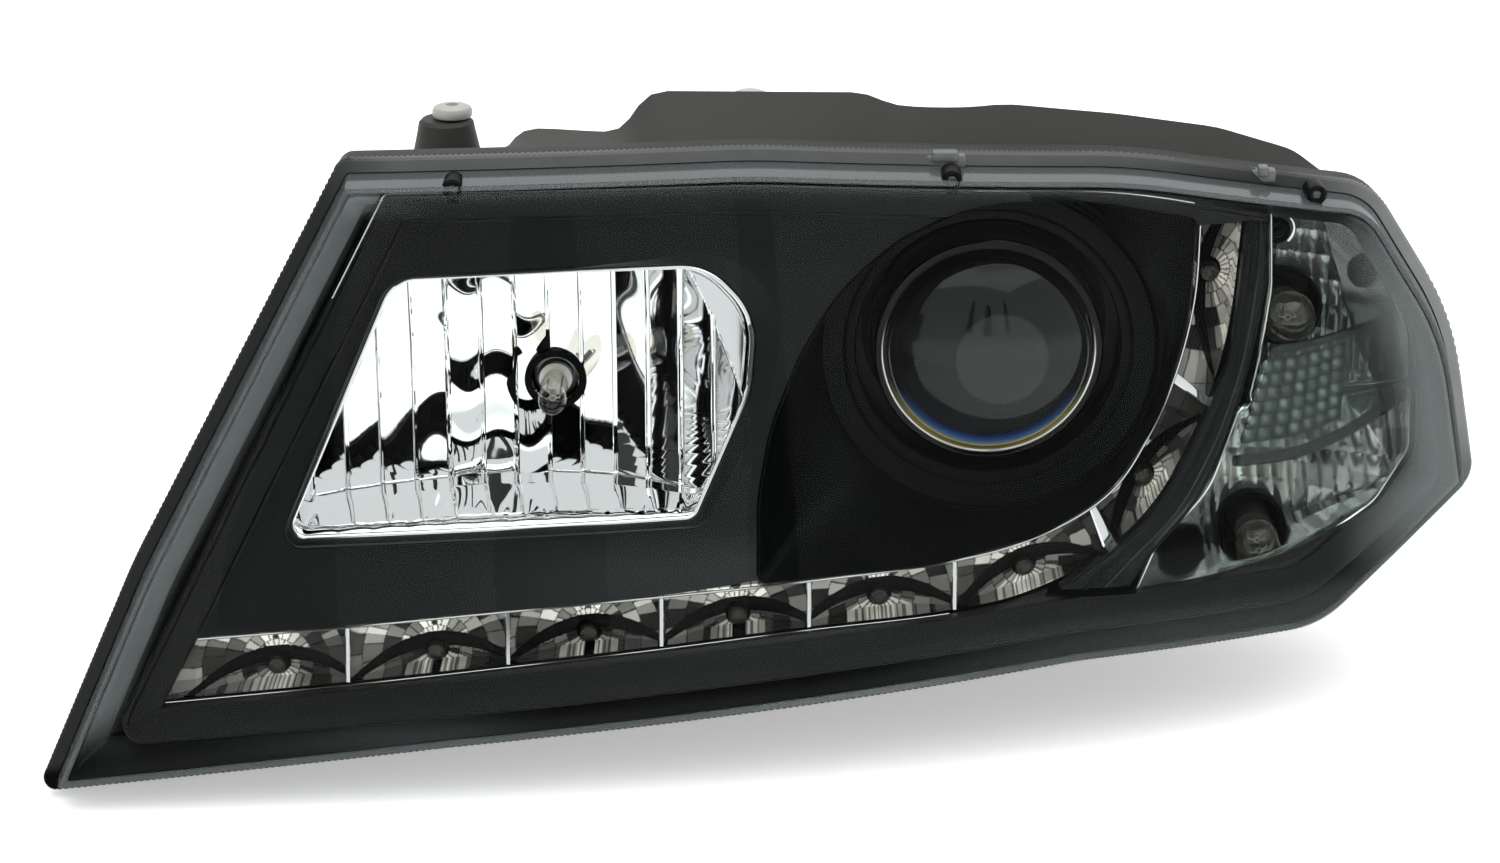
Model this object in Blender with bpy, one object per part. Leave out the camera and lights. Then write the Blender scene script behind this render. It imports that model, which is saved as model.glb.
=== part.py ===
"""Car headlight assembly, left-hand side, as separate sub-parts.

Design coordinates are millimetres: +X runs along the lamp from the grille end to the wing end,
+Y from the front lens back into the engine bay, +Z is up.  Objects are emitted in metres, with
DATUM, a point on the flat pad of the inner mounting tab, at the scene origin.
"""
import math

import bmesh
import bpy
from mathutils import Matrix, Vector

MM = 0.001
BACK, UP = (0, 1, 0), (0, 0, 1)

# ---------------------------------------------------------------- driving dimensions (mm)
DATUM = Vector((-54.0, 124.0, 58.0))
CENTRE = (10.0, -5.0)                   # x, z that the lens, bezel and housing lofts run out from

# front face: y grows along x by a straight and a cubic share, and leans and crowns with z
LAMP_LEFT, LAMP_LENGTH = -235.0, 470.0
FACE_SLOPE, FACE_SWEEP, FACE_START = 12, 75, -15.4
RAKE = 0.30                             # leans back by this much per mm of height
BELLY, BELLY_Z = 0.0004, -10            # crown, and the height it is centred on
LENS_WALL = 2.4

# x, z of the axes that run along Y
LOW_AXIS = (80.0, 11.0)                 # projector
HIGH_AXIS = (-66.0, -3.0)               # main-beam bulb
HIGH_COVER_AXIS = (-62.0, -3.0)         # main-beam service hole
TURN_AXIS = (185.0, 12.0)
PARK_AXIS = (176.0, -64.0)
PIVOT_AXIS = (0.0, -54.0)               # fixed ball of the aim frame
AIM_AXIS = (-104.0, -54.0)              # ball of the sideways adjuster
LEVEL_AXIS = (0.0, 50.0)                # ball of the levelling motor
BALL_Y = 88.0                           # depth of those three balls
AIM_X, LEVEL_X, LEVEL_Z = AIM_AXIS[0], *LEVEL_AXIS

KNOB_Y = 96.0                           # the levelling thumb wheel stands here
SHAFT_Y = 124.0                         # the sideways adjuster's upright shaft
HIGH_VERTEX, HIGH_4F = 61.0, 123.0      # main-beam paraboloid: vertex depth, four focal lengths
DISH_HOLE_R, DISH_WALL = 44.5, 1.8
LOW_CAN_R, LOW_CAN_END = 47.5, 163      # round cans of the housing under the service covers
HIGH_CAN_R, HIGH_CAN_END = 34, 132
COLLAR_START = 131.5                    # collars of the housing round the small bulb holders
TURN_COLLAR_R, TURN_COLLAR_END = 17, 141
PARK_COLLAR_R, PARK_COLLAR_END = 15, 140

LOOP_STEP = 55.0                        # spacing of outline points on long straights
OPENING_STEP = 30                       # the same for the bezel openings and what fills them
TRAY_STEP = 24                          # the same for the corner reflectors
ARC_STEPS = 2                           # chords in a rounded corner

# ---------------------------------------------------------------- outlines seen from the front
# x, z, corner radius
FLANGE = [
    (-133, 82, 6), (-200, -41, 220), (-233, -115, 4), (-100, -103, 300), (110, -88, 220),
    (196, -88, 36), (254, -47, 9), (245, 8, 90), (214, 56, 26), (127, 74, 240), (0, 83, 300)]
BEZEL = [
    (-118, 72, 3), (-165, -14, 220), (-208, -97, 7), (-100, -90, 300), (110, -75, 220),
    (190, -75, 34), (240, -43, 11), (231, 6, 80), (203, 46, 24), (125, 63, 240), (0, 72, 300)]
HIGH_OPENING = [
    (-116, 45, 12), (-152, -36, 5), (-18, -33, 5), (0, 6, 30), (2, 30, 22), (-14, 46.5, 22),
    (-60, 46.5, 200)]
CORNER_OPENING = [
    (175, 49, 3), (175, 26, 60), (168, -6, 60), (154, -36, 50), (134, -55, 20), (127, -66, 2),
    (156, -64, 200), (184, -59, 100), (214, -47, 14), (227, -32, 8), (226, 4, 40), (211, 36, 24),
    (192, 46, 60)]
DISH = [
    (49, 52, 30), (30, 38, 60), (17, 19, 60), (7, -4, 60), (3, -26, 60), (3, -52.5, 3),
    (60, -50.5, 60), (96, -44.5, 60), (120, -33.5, 50), (138, -9, 60), (147, 20, 60),
    (149.5, 52, 3), (112, 61, 60), (76, 62.5, 60)]
TURN_EDGE = [
    (176.4, 47.5, 3), (176.6, 26, 30), (172.5, 4, 30), (168.5, -11, 3), (224, -11, 3),
    (224, 4, 20), (210, 34, 20), (192, 44, 30)]
PARK_EDGE = [
    (165.5, -14, 3), (155, -38, 30), (136, -55, 14), (130, -64, 3), (156, -62.5, 100),
    (184, -57.5, 100), (213, -46, 14), (224.5, -32, 8), (224.5, -14, 3)]

# x, z
STRIP_TOP = [
    (-179, -65), (-132, -62), (-82, -58.5), (-30, -55.5), (18, -53), (66, -50), (96, -44.5),
    (120, -33), (134, -15), (143, 4), (149, 26), (151, 50)]
STRIP_BOTTOM = [
    (-191, -86), (-134, -81.5), (-81, -77), (-30, -73), (18, -69.5), (66, -67.5), (92, -64),
    (117, -54.5), (137, -38), (152, -14), (162, 14), (167, 50)]
LEDS = [(-155, -78), (-103, -74.5), (-53, -70.5), (-4, -67), (43, -63.5), (92, -58), (133, -33),
        (156, 31)]
ARC_IN = [
    (103, -61.2), (120, -51), (134.5, -40.5), (147.5, -20.5), (156.5, -3.5), (161.5, 7),
    (165.5, 35), (168, 50)]
ARC_OUT = [
    (127.5, -62.6), (135, -53), (149, -39), (158, -25), (163, -13), (169.5, 9), (174.5, 31),
    (174.8, 49)]
WING = [
    (176.2, 8.6), (190, 9), (206, 11), (220.5, 13.5), (224.5, 0), (225.4, -14), (219, -17),
    (199, -25), (185, -28), (163.5, -28), (167.5, -15)]
HOUSING_MID = [                         # just behind the lens groove
    (-122, 62), (-88, 66), (-76, 80), (-44, 78), (-34, 92.5), (40, 92), (46, 87.5), (80, 86),
    (84, 87), (125, 81), (160, 74), (188, 64), (214, 44), (234, 12), (240, -20), (240, -42),
    (222, -60), (192, -84), (110, -88), (0, -92), (-100, -98), (-192, -104), (-197, -98),
    (-165, -20)]
HOUSING_REAR = [                        # rear wall
    (-116, 58), (-88, 60), (-72, 60), (-46, 60), (-32, 72), (40, 72), (60, 67), (120, 61),
    (170, 50), (208, 32), (219, 0), (217, -40), (200, -74), (180, -88), (110, -92), (0, -93),
    (-100, -94), (-150, -90), (-158, -74), (-140, 0)]
FRAME = [
    (-118, -67), (12, -67), (24, -46), (60, -37), (104, -31), (125, -12), (129, 24), (112, 51),
    (76, 60), (8, 62), (-11, 62), (-13, 34), (-60, 28), (-112, 30), (-112, 14), (-96, 8),
    (-98, -28), (-118, -44)]
BEZEL_SCREWS = [(-96, 66.5), (67, 63.8), (191, 46.5)]

# mounting tabs: plate corners, raised pad corners, start of the upright hole
TABS = [
    ((-66, 104, 50), (-42, 142, 55), (-64, 116, 54), (-44, 140, 58), (-54, 133, 45)),
    ((126, 128, 44), (156, 160, 49), (129, 138, 48), (153, 158, 52), (141, 151, 40)),
    ((60, 128, -91), (90, 160, -86), (63, 138, -94), (87, 158, -90), (75, 151, -100))]

# ---------------------------------------------------------------- materials
# base colour, roughness, metallic
LOOKS = {
    "smoked_clear": ((0.45, 0.48, 0.48), 0.05, 0.0),
    "black_plastic": ((0.02, 0.02, 0.022), 0.45, 0.0),
    "gloss_black": ((0.01, 0.01, 0.01), 0.1, 0.0),
    "aluminium": ((0.8, 0.8, 0.8), 0.3, 1.0),
    "housing_plastic": ((0.10, 0.10, 0.095), 0.6, 0.0),
    "chrome": ((0.9, 0.9, 0.9), 0.05, 1.0),
    "optic_glass": ((0.55, 0.6, 0.65), 0.02, 0.0),
    "bulb_glass": ((0.8, 0.8, 0.8), 0.02, 0.0),
    "steel": ((0.6, 0.6, 0.6), 0.35, 1.0),
    "grey_nylon": ((0.45, 0.46, 0.43), 0.5, 0.0),
    "white_nylon": ((0.8, 0.8, 0.76), 0.5, 0.0),
    "rubber": ((0.03, 0.03, 0.03), 0.8, 0.0),
    "cast_alloy": ((0.55, 0.55, 0.55), 0.5, 1.0),
    "circuit_board": ((0.05, 0.16, 0.08), 0.5, 0.0),
}


def make_material(name, colour, roughness, metallic):
    material = bpy.data.materials.new(name)
    material.use_nodes = True
    inputs = material.node_tree.nodes["Principled BSDF"].inputs
    inputs["Base Color"].default_value = (*colour, 1)
    inputs["Roughness"].default_value = roughness
    inputs["Metallic"].default_value = metallic
    return material


# ---------------------------------------------------------------- depths
def face_y(x, z):
    """Depth of the front lens at x, z."""
    along = (x - LAMP_LEFT) / LAMP_LENGTH
    return (FACE_SLOPE * along + FACE_SWEEP * along ** 3 + FACE_START
            + RAKE * z + BELLY * (z - BELLY_Z) ** 2)


def behind_face(depth):
    """Depth function that follows the front face, depth behind it."""
    return lambda x, z: face_y(x, z) + depth


def smooth_step(t):
    t = min(1.0, max(0.0, t))
    return t * t * (3 - 2 * t)


def rear_wall(depth):
    """Depth function of the rear wall: shallow behind the main beam, deeper by the projector."""
    return lambda x, z: 112 + 23 * smooth_step((x + 45) / 55) + depth


def housing_mid_y(x, z):
    """Depth at which the housing narrows; it stays behind the groove where the lens wraps."""
    return max(80 + 22 * smooth_step((x - 120) / 110), face_y(x, z) + 39)


def high_bowl_y(x, z):
    return HIGH_VERTEX - ((x - HIGH_AXIS[0]) ** 2 + (z - HIGH_AXIS[1]) ** 2) / HIGH_4F


# ---------------------------------------------------------------- outlines
def offset(outline, distance):
    """The outline moved outward by distance, mitred, corner radii kept in step."""
    count = len(outline)
    area = sum(a[0] * b[1] - b[0] * a[1] for a, b in zip(outline, outline[1:] + outline[:1]))
    sign = 1 if area > 0 else -1
    moved = []
    for i, here in enumerate(outline):
        last, after = outline[i - 1], outline[(i + 1) % count]
        edge_in = Vector((here[0] - last[0], here[1] - last[1])).normalized()
        edge_out = Vector((after[0] - here[0], after[1] - here[1])).normalized()
        normal_in = Vector((edge_in.y, -edge_in.x)) * sign
        normal_out = Vector((edge_out.y, -edge_out.x)) * sign
        mitre = (normal_in + normal_out) / (1 + normal_in.dot(normal_out))
        convex = (edge_in.x * edge_out.y - edge_in.y * edge_out.x) * sign > 0
        radius = max(0.6, here[2] + (distance if convex else -distance))
        moved.append((here[0] + mitre.x * distance, here[1] + mitre.y * distance, radius))
    return moved


def grown(outline, growth, step=LOOP_STEP):
    """x, z points along the outline grown by growth, corners rounded.

    The point count depends on the ungrown outline only, so loops of one outline match.
    """
    corners = offset(outline, growth)
    count = len(corners)
    arcs = []
    for i, corner in enumerate(corners):
        here = Vector(corner[:2])
        to_last = Vector(corners[i - 1][:2]) - here
        to_next = Vector(corners[(i + 1) % count][:2]) - here
        last_length, next_length = to_last.length, to_next.length
        to_last, to_next = to_last / last_length, to_next / next_length
        half = math.acos(max(-1, min(1, to_last.dot(to_next)))) / 2
        reach = min(corner[2] / math.tan(half), 0.48 * last_length, 0.48 * next_length)
        radius = reach * math.tan(half)
        middle = here + (to_last + to_next).normalized() * (radius / math.sin(half))
        start = here + to_last * reach - middle
        end = here + to_next * reach - middle
        turn = -start.angle_signed(end)
        arcs.append([middle + Matrix.Rotation(turn * k / ARC_STEPS, 2) @ start
                     for k in range(ARC_STEPS + 1)])
    points = []
    for i, arc in enumerate(arcs):
        after = (i + 1) % count
        edge = (Vector(outline[after][:2]) - Vector(outline[i][:2])).length
        parts = max(1, round(edge / step))
        points += arc + [arc[-1].lerp(arcs[after][0], j / parts) for j in range(1, parts)]
    return [(p.x, p.y) for p in points]


def cast(polygon, target):
    """Where the ray from CENTRE towards target leaves the polygon."""
    dx, dz = target[0] - CENTRE[0], target[1] - CENTRE[1]
    farthest = 0
    for start, end in zip(polygon, polygon[1:] + polygon[:1]):
        edge_x, edge_z = end[0] - start[0], end[1] - start[1]
        from_x, from_z = start[0] - CENTRE[0], start[1] - CENTRE[1]
        cross = dx * edge_z - dz * edge_x
        if abs(cross) < 1e-9:
            continue
        along_ray = (from_x * edge_z - from_z * edge_x) / cross
        along_edge = (from_x * dz - from_z * dx) / cross
        if -1e-9 <= along_edge <= 1 + 1e-9:
            farthest = max(farthest, along_ray)
    return (CENTRE[0] + dx * farthest, CENTRE[1] + dz * farthest)


def scaled(points, scale):
    """Points scaled about CENTRE."""
    return [(CENTRE[0] + (x - CENTRE[0]) * scale, CENTRE[1] + (z - CENTRE[1]) * scale)
            for x, z in points]


def pulled(points, distance):
    """Points moved towards CENTRE by distance."""
    moved = []
    for x, z in points:
        pull = Vector((CENTRE[0] - x, CENTRE[1] - z)).normalized() * distance
        moved.append((x + pull.x, z + pull.y))
    return moved


def shift(line, distance):
    """An open chain moved sideways by distance, to the left of its direction."""
    moved = []
    for i, (x, z) in enumerate(line):
        before, after = line[max(0, i - 1)], line[min(len(line) - 1, i + 1)]
        along = Vector((after[0] - before[0], after[1] - before[1])).normalized()
        moved.append((x - along.y * distance, z + along.x * distance))
    return moved


def band(first, second):
    """The closed outline between two chains that run the same way."""
    return list(first) + list(reversed(second))


def oval_for(points, hub, middle, radius_x, radius_z):
    """An oval round middle, its points in the directions that points have from hub."""
    oval = []
    for x, z in points:
        ray = Vector((x - hub[0], z - hub[1])).normalized()
        oval.append((middle[0] + ray.x * radius_x, middle[1] + ray.y * radius_z))
    return oval


def placed(points, depth):
    """x, z points given their y; depth is a number or a function of x, z."""
    depth_at = depth if callable(depth) else (lambda x, z: depth)
    return [(x, depth_at(x, z), z) for x, z in points]


def surfaced(points, depth):
    return placed(points, behind_face(depth))


def outline_rings(outline, stations, step=LOOP_STEP):
    """Rings from stations of growth, depth behind the face."""
    return [surfaced(grown(outline, growth, step), depth) for growth, depth in stations]


def face_rings(outline, growth, scales, depth):
    """Shrunken copies of an outline, at one depth behind the face."""
    loop = grown(outline, growth)
    return [surfaced(scaled(loop, scale), depth) for scale in scales]


def centre_point(depth):
    """CENTRE at a depth given as a function."""
    return placed([CENTRE], depth)[0]


def at(axis, y):
    return (axis[0], y, axis[1])


# ---------------------------------------------------------------- work solids
def solid(verts, faces):
    """A temporary closed object in design millimetres, faces pointing out."""
    bm = bmesh.new()
    bm_verts = [bm.verts.new(v) for v in verts]
    for face in faces:
        bm.faces.new([bm_verts[i] for i in face])
    bmesh.ops.remove_doubles(bm, verts=bm.verts, dist=1e-4)
    bmesh.ops.recalc_face_normals(bm, faces=bm.faces)
    mesh = bpy.data.meshes.new("work")
    bm.to_mesh(mesh)
    bm.free()
    obj = bpy.data.objects.new("work", mesh)
    bpy.context.scene.collection.objects.link(obj)
    return obj


def merged_solid(verts, faces):
    """As solid, with coinciding points (those on an axis) made one first."""
    slots, unique, index = {}, [], []
    for vert in verts:
        key = tuple(round(c, 4) for c in vert)
        if key not in slots:
            slots[key] = len(unique)
            unique.append(vert)
        index.append(slots[key])
    merged = [tuple(dict.fromkeys(index[i] for i in face)) for face in faces]
    return solid(unique, [face for face in merged if len(face) > 2])


def loft(rings, first=None, last=None, closed=False):
    """A solid from matching closed rings.

    With closed the last ring joins the first.  Otherwise each end is a flat face, or a fan
    to the point given as first or last.
    """
    count = len(rings[0])
    verts = [p for ring in rings for p in ring]
    faces = []
    for k in range(len(rings) if closed else len(rings) - 1):
        a, b = k * count, ((k + 1) % len(rings)) * count
        for i in range(count):
            j = (i + 1) % count
            faces.append((a + i, a + j, b + j, b + i))
    if not closed:
        for base, tip in ((0, first), ((len(rings) - 1) * count, last)):
            if tip is None:
                faces.append(tuple(base + i for i in range(count)))
            else:
                verts.append(tip)
                faces += [(base + i, base + (i + 1) % count, len(verts) - 1)
                          for i in range(count)]
    return solid(verts, faces)


def basis(direction):
    """Two directions square to direction, and its unit vector."""
    along = Vector(direction).normalized()
    helper = Vector((0, 0, 1)) if abs(along.z) < 0.9 else Vector((1, 0, 0))
    across = along.cross(helper).normalized()
    return across, along.cross(across).normalized(), along


def lathe(profile, origin, direction, sides):
    """Turned solid: profile is a chain of radius, distance; closed by the axis or by itself."""
    across, other, along = basis(direction)
    origin = Vector(origin)
    verts = []
    for k in range(sides):
        angle = 2 * math.pi * k / sides
        radial = across * math.cos(angle) + other * math.sin(angle)
        verts += [tuple(origin + radial * r + along * t) for r, t in profile]
    count = len(profile)
    on_axis = profile[0][0] == 0 and profile[-1][0] == 0
    faces = []
    for k in range(sides):
        a, b = k * count, ((k + 1) % sides) * count
        for i in range(count - 1 if on_axis else count):
            j = (i + 1) % count
            faces.append((a + i, a + j, b + j, b + i))
    return merged_solid(verts, faces)


def turned(profile, axis, sides):
    """Turned solid on an axis along Y; profile is radius, y."""
    return lathe(profile, at(axis, 0), BACK, sides)


def rod(start, direction, radius, length, sides):
    return lathe([(0, 0), (radius, 0), (radius, length), (0, length)], start, direction, sides)


def tube(start, direction, r_in, r_out, length, sides):
    profile = [(r_in, 0), (r_out, 0), (r_out, length), (r_in, length)]
    return lathe(profile, start, direction, sides)


def arc_profile(angles, radius, height, middle=0):
    """Profile points of a round end; angle 0 is its pole, height before middle."""
    return [(radius * math.sin(a), middle - height * math.cos(a)) for a in angles]


def block(low, high):
    verts = [(x, y, z) for x in (low[0], high[0]) for y in (low[1], high[1])
             for z in (low[2], high[2])]
    return solid(verts, [(0, 1, 3, 2), (4, 6, 7, 5), (0, 4, 5, 1), (2, 3, 7, 6), (0, 2, 6, 4),
                         (1, 5, 7, 3)])


def prism(points, front, back):
    """A straight bar along Y; front and back are depths or functions of x, z."""
    return loft([placed(points, front), placed(points, back)])


def wire(path, radius, sides):
    """A round bar along a chain of points, mitred at the bends."""
    points = [Vector(p) for p in path]
    rings, across = [], None
    for i, point in enumerate(points):
        along = Vector()
        if i:
            along += (point - points[i - 1]).normalized()
        if i < len(points) - 1:
            along += (points[i + 1] - point).normalized()
        along.normalize()
        if across is None:
            across = basis(along)[0]
        across = (across - along * across.dot(along)).normalized()
        other = along.cross(across)
        angles = [2 * math.pi * k / sides for k in range(sides)]
        rings.append([tuple(point + across * radius * math.cos(a) + other * radius * math.sin(a))
                      for a in angles])
    return loft(rings)


def combine(obj, others, operation):
    for other in others:
        modifier = obj.modifiers.new("b", "BOOLEAN")
        modifier.object, modifier.operation, modifier.solver = other, operation, "MANIFOLD"
        graph = bpy.context.evaluated_depsgraph_get()
        mesh = bpy.data.meshes.new_from_object(obj.evaluated_get(graph))
        obj.modifiers.clear()
        obj.data = mesh
        bpy.data.objects.remove(other, do_unlink=True)
    return obj


def join(obj, *others):
    return combine(obj, others, "UNION")


def cut(obj, *others):
    return combine(obj, others, "DIFFERENCE")


def emit(name, obj, material, origin=None):
    """Turns a work solid into a named sub-part in metres; its origin defaults to its middle."""
    if origin is None:
        spans = [[v.co[k] for v in obj.data.vertices] for k in range(3)]
        origin = [(min(span) + max(span)) / 2 for span in spans]
    origin = Vector(origin)
    obj.data.transform(Matrix.Translation(-origin))
    obj.data.transform(Matrix.Scale(MM, 4))
    obj.location = (origin - DATUM) * MM
    obj.name = obj.data.name = name
    obj.data.materials.clear()
    obj.data.materials.append(MATERIALS[material])
    for polygon in obj.data.polygons:
        polygon.use_smooth = True
    obj.data.set_sharp_from_angle(angle=math.radians(35))


# ---------------------------------------------------------------- front lens and housing
def build_front_lens():
    """Crowned cover with a side wall, a flange and a tongue that enters the housing groove."""
    scales = (0.3, 0.62, 0.88)
    outer, inner = -7.4, -9.4
    rings = face_rings(FLANGE, outer, scales, 0)
    rings += outline_rings(FLANGE, [
        (outer, 0.5), (-5.4, 3.6), (-4.6, 15.5), (0, 16.5), (0, 19.4), (-4.3, 19.4),
        (-4.4, 25.4), (-6.4, 25.4), (-7.2, 15.0), (-7.8, 4.6), (inner, LENS_WALL + 0.6)])
    rings += face_rings(FLANGE, inner, scales[::-1], LENS_WALL)
    lens = loft(rings, centre_point(behind_face(0)), centre_point(behind_face(LENS_WALL)))
    emit("front_lens", lens, "smoked_clear")


def housing_shell():
    """Open-fronted shell, lofted from the inside of the rear wall forward, round and back."""
    rim = grown(FLANGE, -4)
    mid = [cast(HOUSING_MID, p) for p in rim]
    rear = [cast(HOUSING_REAR, p) for p in rim]
    inside, outside = rear_wall(-3), rear_wall(0)
    rings = [
        placed(scaled(rear, 0.35), inside), placed(scaled(rear, 0.75), inside),
        placed(pulled(rear, 8), inside), placed(pulled(rear, 4.0), rear_wall(-8)),
        placed(pulled(mid, 3.6), housing_mid_y)]
    rings += outline_rings(FLANGE, [        # inner wall, groove, outer wall
        (-9.1, 32.0), (-9.1, 18.6), (-7.6, 18.6), (-7.6, 26.6), (-3.2, 26.6), (-3.2, 20.2),
        (-0.8, 20.2), (-0.8, 29.6), (-4.5, 32.0)])
    rings += [
        placed(mid, housing_mid_y), placed(rear, rear_wall(-6)),
        placed(pulled(rear, 5), outside),
        placed(scaled(rear, 0.75), outside), placed(scaled(rear, 0.35), outside)]
    return loft(rings, centre_point(inside), centre_point(outside))


def build_housing():
    low_can, high_can = LOW_CAN_END - 131, HIGH_CAN_END - 106
    # start, direction, radius, length, sides
    bosses = [
        (at(LOW_AXIS, 131), BACK, LOW_CAN_R, low_can, 32),
        (at(HIGH_COVER_AXIS, 106), BACK, HIGH_CAN_R, high_can, 28),
        (at(TURN_AXIS, COLLAR_START), BACK, TURN_COLLAR_R, TURN_COLLAR_END - COLLAR_START, 20),
        (at(PARK_AXIS, COLLAR_START), BACK, PARK_COLLAR_R, PARK_COLLAR_END - COLLAR_START, 20),
        (at(LEVEL_AXIS, 120), BACK, 21.5, 15.2, 24),
        (at(PIVOT_AXIS, 116), BACK, 9, 16, 16),
        ((LEVEL_X, KNOB_Y, 71), UP, 10, 18.4, 16)]
    bores = [
        (at(LOW_AXIS, 124), BACK, 44, 46, 32),
        (at(HIGH_COVER_AXIS, 96), BACK, 31, 40, 28),
        (at(TURN_AXIS, 124), BACK, 14.3, 22, 20),
        (at(PARK_AXIS, 124), BACK, 12.3, 22, 20),
        (at(LEVEL_AXIS, 112), BACK, 7, 30, 16),
        (at(PIVOT_AXIS, 112), BACK, 5.3, 15, 16),
        ((LEVEL_X, KNOB_Y, 84.2), UP, 7.6, 12, 16),
        ((LEVEL_X, KNOB_Y, 60), UP, 2.8, 40, 12),
        ((AIM_X, SHAFT_Y, -45), UP, 2.9, 120, 12),
        (at(AIM_AXIS, 100), BACK, 4.1, 16, 12)]
    bores += [(hole, UP, 3.4, 20, 14) for *_, hole in TABS]
    # upper and lower guides of the adjuster's upright shaft; outline is x from AIM_X, z
    upper_guide = [(-14, 50), (-12, 62), (-7, 64.6), (8, 64.6), (12, 60), (12, 50)]
    blocks = [((AIM_X - 7, 110, -36), (AIM_X + 7, 130, -30))]
    for plate_low, plate_high, pad_low, pad_high, _ in TABS:
        blocks += [(plate_low, plate_high), (pad_low, pad_high)]

    housing = housing_shell()
    join(housing, *[rod(*boss) for boss in bosses],
         prism([(AIM_X + x, z) for x, z in upper_guide], 104, 132),
         *[block(*corners) for corners in blocks])
    cut(housing, *[rod(*bore) for bore in bores])
    emit("housing", housing, "housing_plastic")


def build_lens_bead():
    """Sealing bead in the housing groove, behind the lens tongue."""
    rings = outline_rings(FLANGE, [(-6.9, 25.6), (-3.9, 25.6), (-4.1, 26.4), (-6.7, 26.4)])
    emit("lens_bead", loft(rings, closed=True), "rubber")


def build_tab_sleeves():
    for k, (plate_low, _, pad_low, _, (x, y, _)) in enumerate(TABS, 1):
        bottom = min(plate_low[2], pad_low[2])
        emit(f"tab_sleeve_{k}", tube((x, y, bottom), UP, 2.2, 3.2, 8, 14), "steel")


# ---------------------------------------------------------------- bezel
def bezel_cutter(points):
    """A bar through the whole bezel."""
    return prism(points, behind_face(-4), behind_face(34))


def bezel_opening(outline, growth):
    return bezel_cutter(grown(outline, growth, OPENING_STEP))


def strip_cutter():
    """Opening of the light strip; its top edge is higher to the right of x = 3."""
    top = [high if high[0] > 3 else low
           for high, low in zip(shift(STRIP_TOP, 2.4), shift(STRIP_TOP, 0.4))]
    return bezel_cutter(band(top, shift(STRIP_BOTTOM, -0.4)))


def arc_cutter():
    """Opening of the curved bar, run on past the bar's lower end."""
    return bezel_cutter(band([(98, -64.5)] + shift(ARC_IN, 3),
                             [(129.5, -66)] + shift(ARC_OUT, -4)))


def build_bezel():
    front, back = 14, 16                # depths of the panel's two sides behind the face
    rings = face_rings(BEZEL, -6, (0.35, 0.7), front)
    rings += outline_rings(BEZEL, [
        (-6, front), (-2.6, 8.6), (-1.2, 8), (0, 8.6), (0, 24), (-2, 24), (-2, 17.5),
        (-7.5, back)])
    rings += face_rings(BEZEL, -7.5, (0.7, 0.35), back)
    bezel = loft(rings, centre_point(behind_face(front)), centre_point(behind_face(back)))
    cut(bezel, bezel_opening(HIGH_OPENING, 1.6), bezel_opening(DISH, 0.4), strip_cutter(),
        arc_cutter(), bezel_opening(CORNER_OPENING, 0))
    cut(bezel, *[rod((x, face_y(x, z) - 10, z), BACK, 3.7, 60, 12) for x, z in BEZEL_SCREWS])
    emit("bezel", bezel, "black_plastic")


def build_bezel_screws():
    profile = [(0, 17.5), (3.2, 17.5), (3.2, 20), (1.7, 20), (1.7, 30), (0, 30)]
    for k, (x, z) in enumerate(BEZEL_SCREWS, 1):
        emit(f"bezel_screw_{k}", lathe(profile, (x, face_y(x, z), z), BACK, 12), "steel")


def build_high_beam_trim():
    stations = [(-1.4, 13.2), (1.2, 13.2), (1.2, 17), (0.2, 17)]
    rings = outline_rings(HIGH_OPENING, stations, OPENING_STEP)
    emit("high_beam_trim", loft(rings, closed=True), "chrome")


def between(first, second, share, bow):
    """A ring part-way between two rings, bowed backwards."""
    lift = bow * 4 * share * (1 - share)
    return [(x0 + (x1 - x0) * share, y0 + (y1 - y0) * share + lift, z0 + (z1 - z0) * share)
            for (x0, y0, z0), (x1, y1, z1) in zip(first, second)]


def build_projector_dish():
    """Surround that sinks from the bezel opening to a short round neck."""
    edge = grown(DISH, -0.8, OPENING_STEP)
    hole_in, hole_out = [oval_for(edge, LOW_AXIS, LOW_AXIS, r, r)
                         for r in (DISH_HOLE_R, DISH_HOLE_R + DISH_WALL)]
    edge_front, edge_back = surfaced(edge, 14.2), surfaced(edge, 16.2)
    hole_front, hole_back = placed(hole_in, 54), placed(hole_out, 57)
    rings = [
        edge_front, between(edge_front, hole_front, 0.35, 6),
        between(edge_front, hole_front, 0.7, 5), hole_front,
        placed(hole_in, 62), placed(hole_out, 62),
        hole_back, between(edge_back, hole_back, 0.7, 5.5),
        between(edge_back, hole_back, 0.35, 6.5), edge_back]
    emit("projector_dish", loft(rings, closed=True), "gloss_black")


# ---------------------------------------------------------------- light strip
TROUGH_FRONT, TROUGH_BACK, TROUGH_WALL = 17.6, 30.0, 1.2
DIVIDER_X = [-131, -79, -29, 19.5, 68]   # dividers on the straight part of the strip


def strip_bar(section):
    """A bar along the strip; section maps its width to points of distance down, depth."""
    rings = []
    for top, bottom in zip(STRIP_TOP, STRIP_BOTTOM):
        down = Vector((bottom[0] - top[0], bottom[1] - top[1]))
        width = down.length
        down /= width
        ring = []
        for distance, depth in section(width):
            x, z = top[0] + down.x * distance, top[1] + down.y * distance
            ring.append((x, face_y(x, z) + depth, z))
        rings.append(ring)
    return loft(rings)


def height_on(line, x):
    for (x0, z0), (x1, z1) in zip(line, line[1:]):
        if x0 <= x <= x1:
            return z0 + (z1 - z0) * (x - x0) / (x1 - x0)


def divider_outline(top, bottom, half_top, half_bottom):
    return [(top[0] - half_top, top[1] + 0.1), (top[0] + half_top, top[1] + 0.1),
            (bottom[0] + half_bottom, bottom[1] - 0.1),
            (bottom[0] - half_bottom, bottom[1] - 0.1)]


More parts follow.
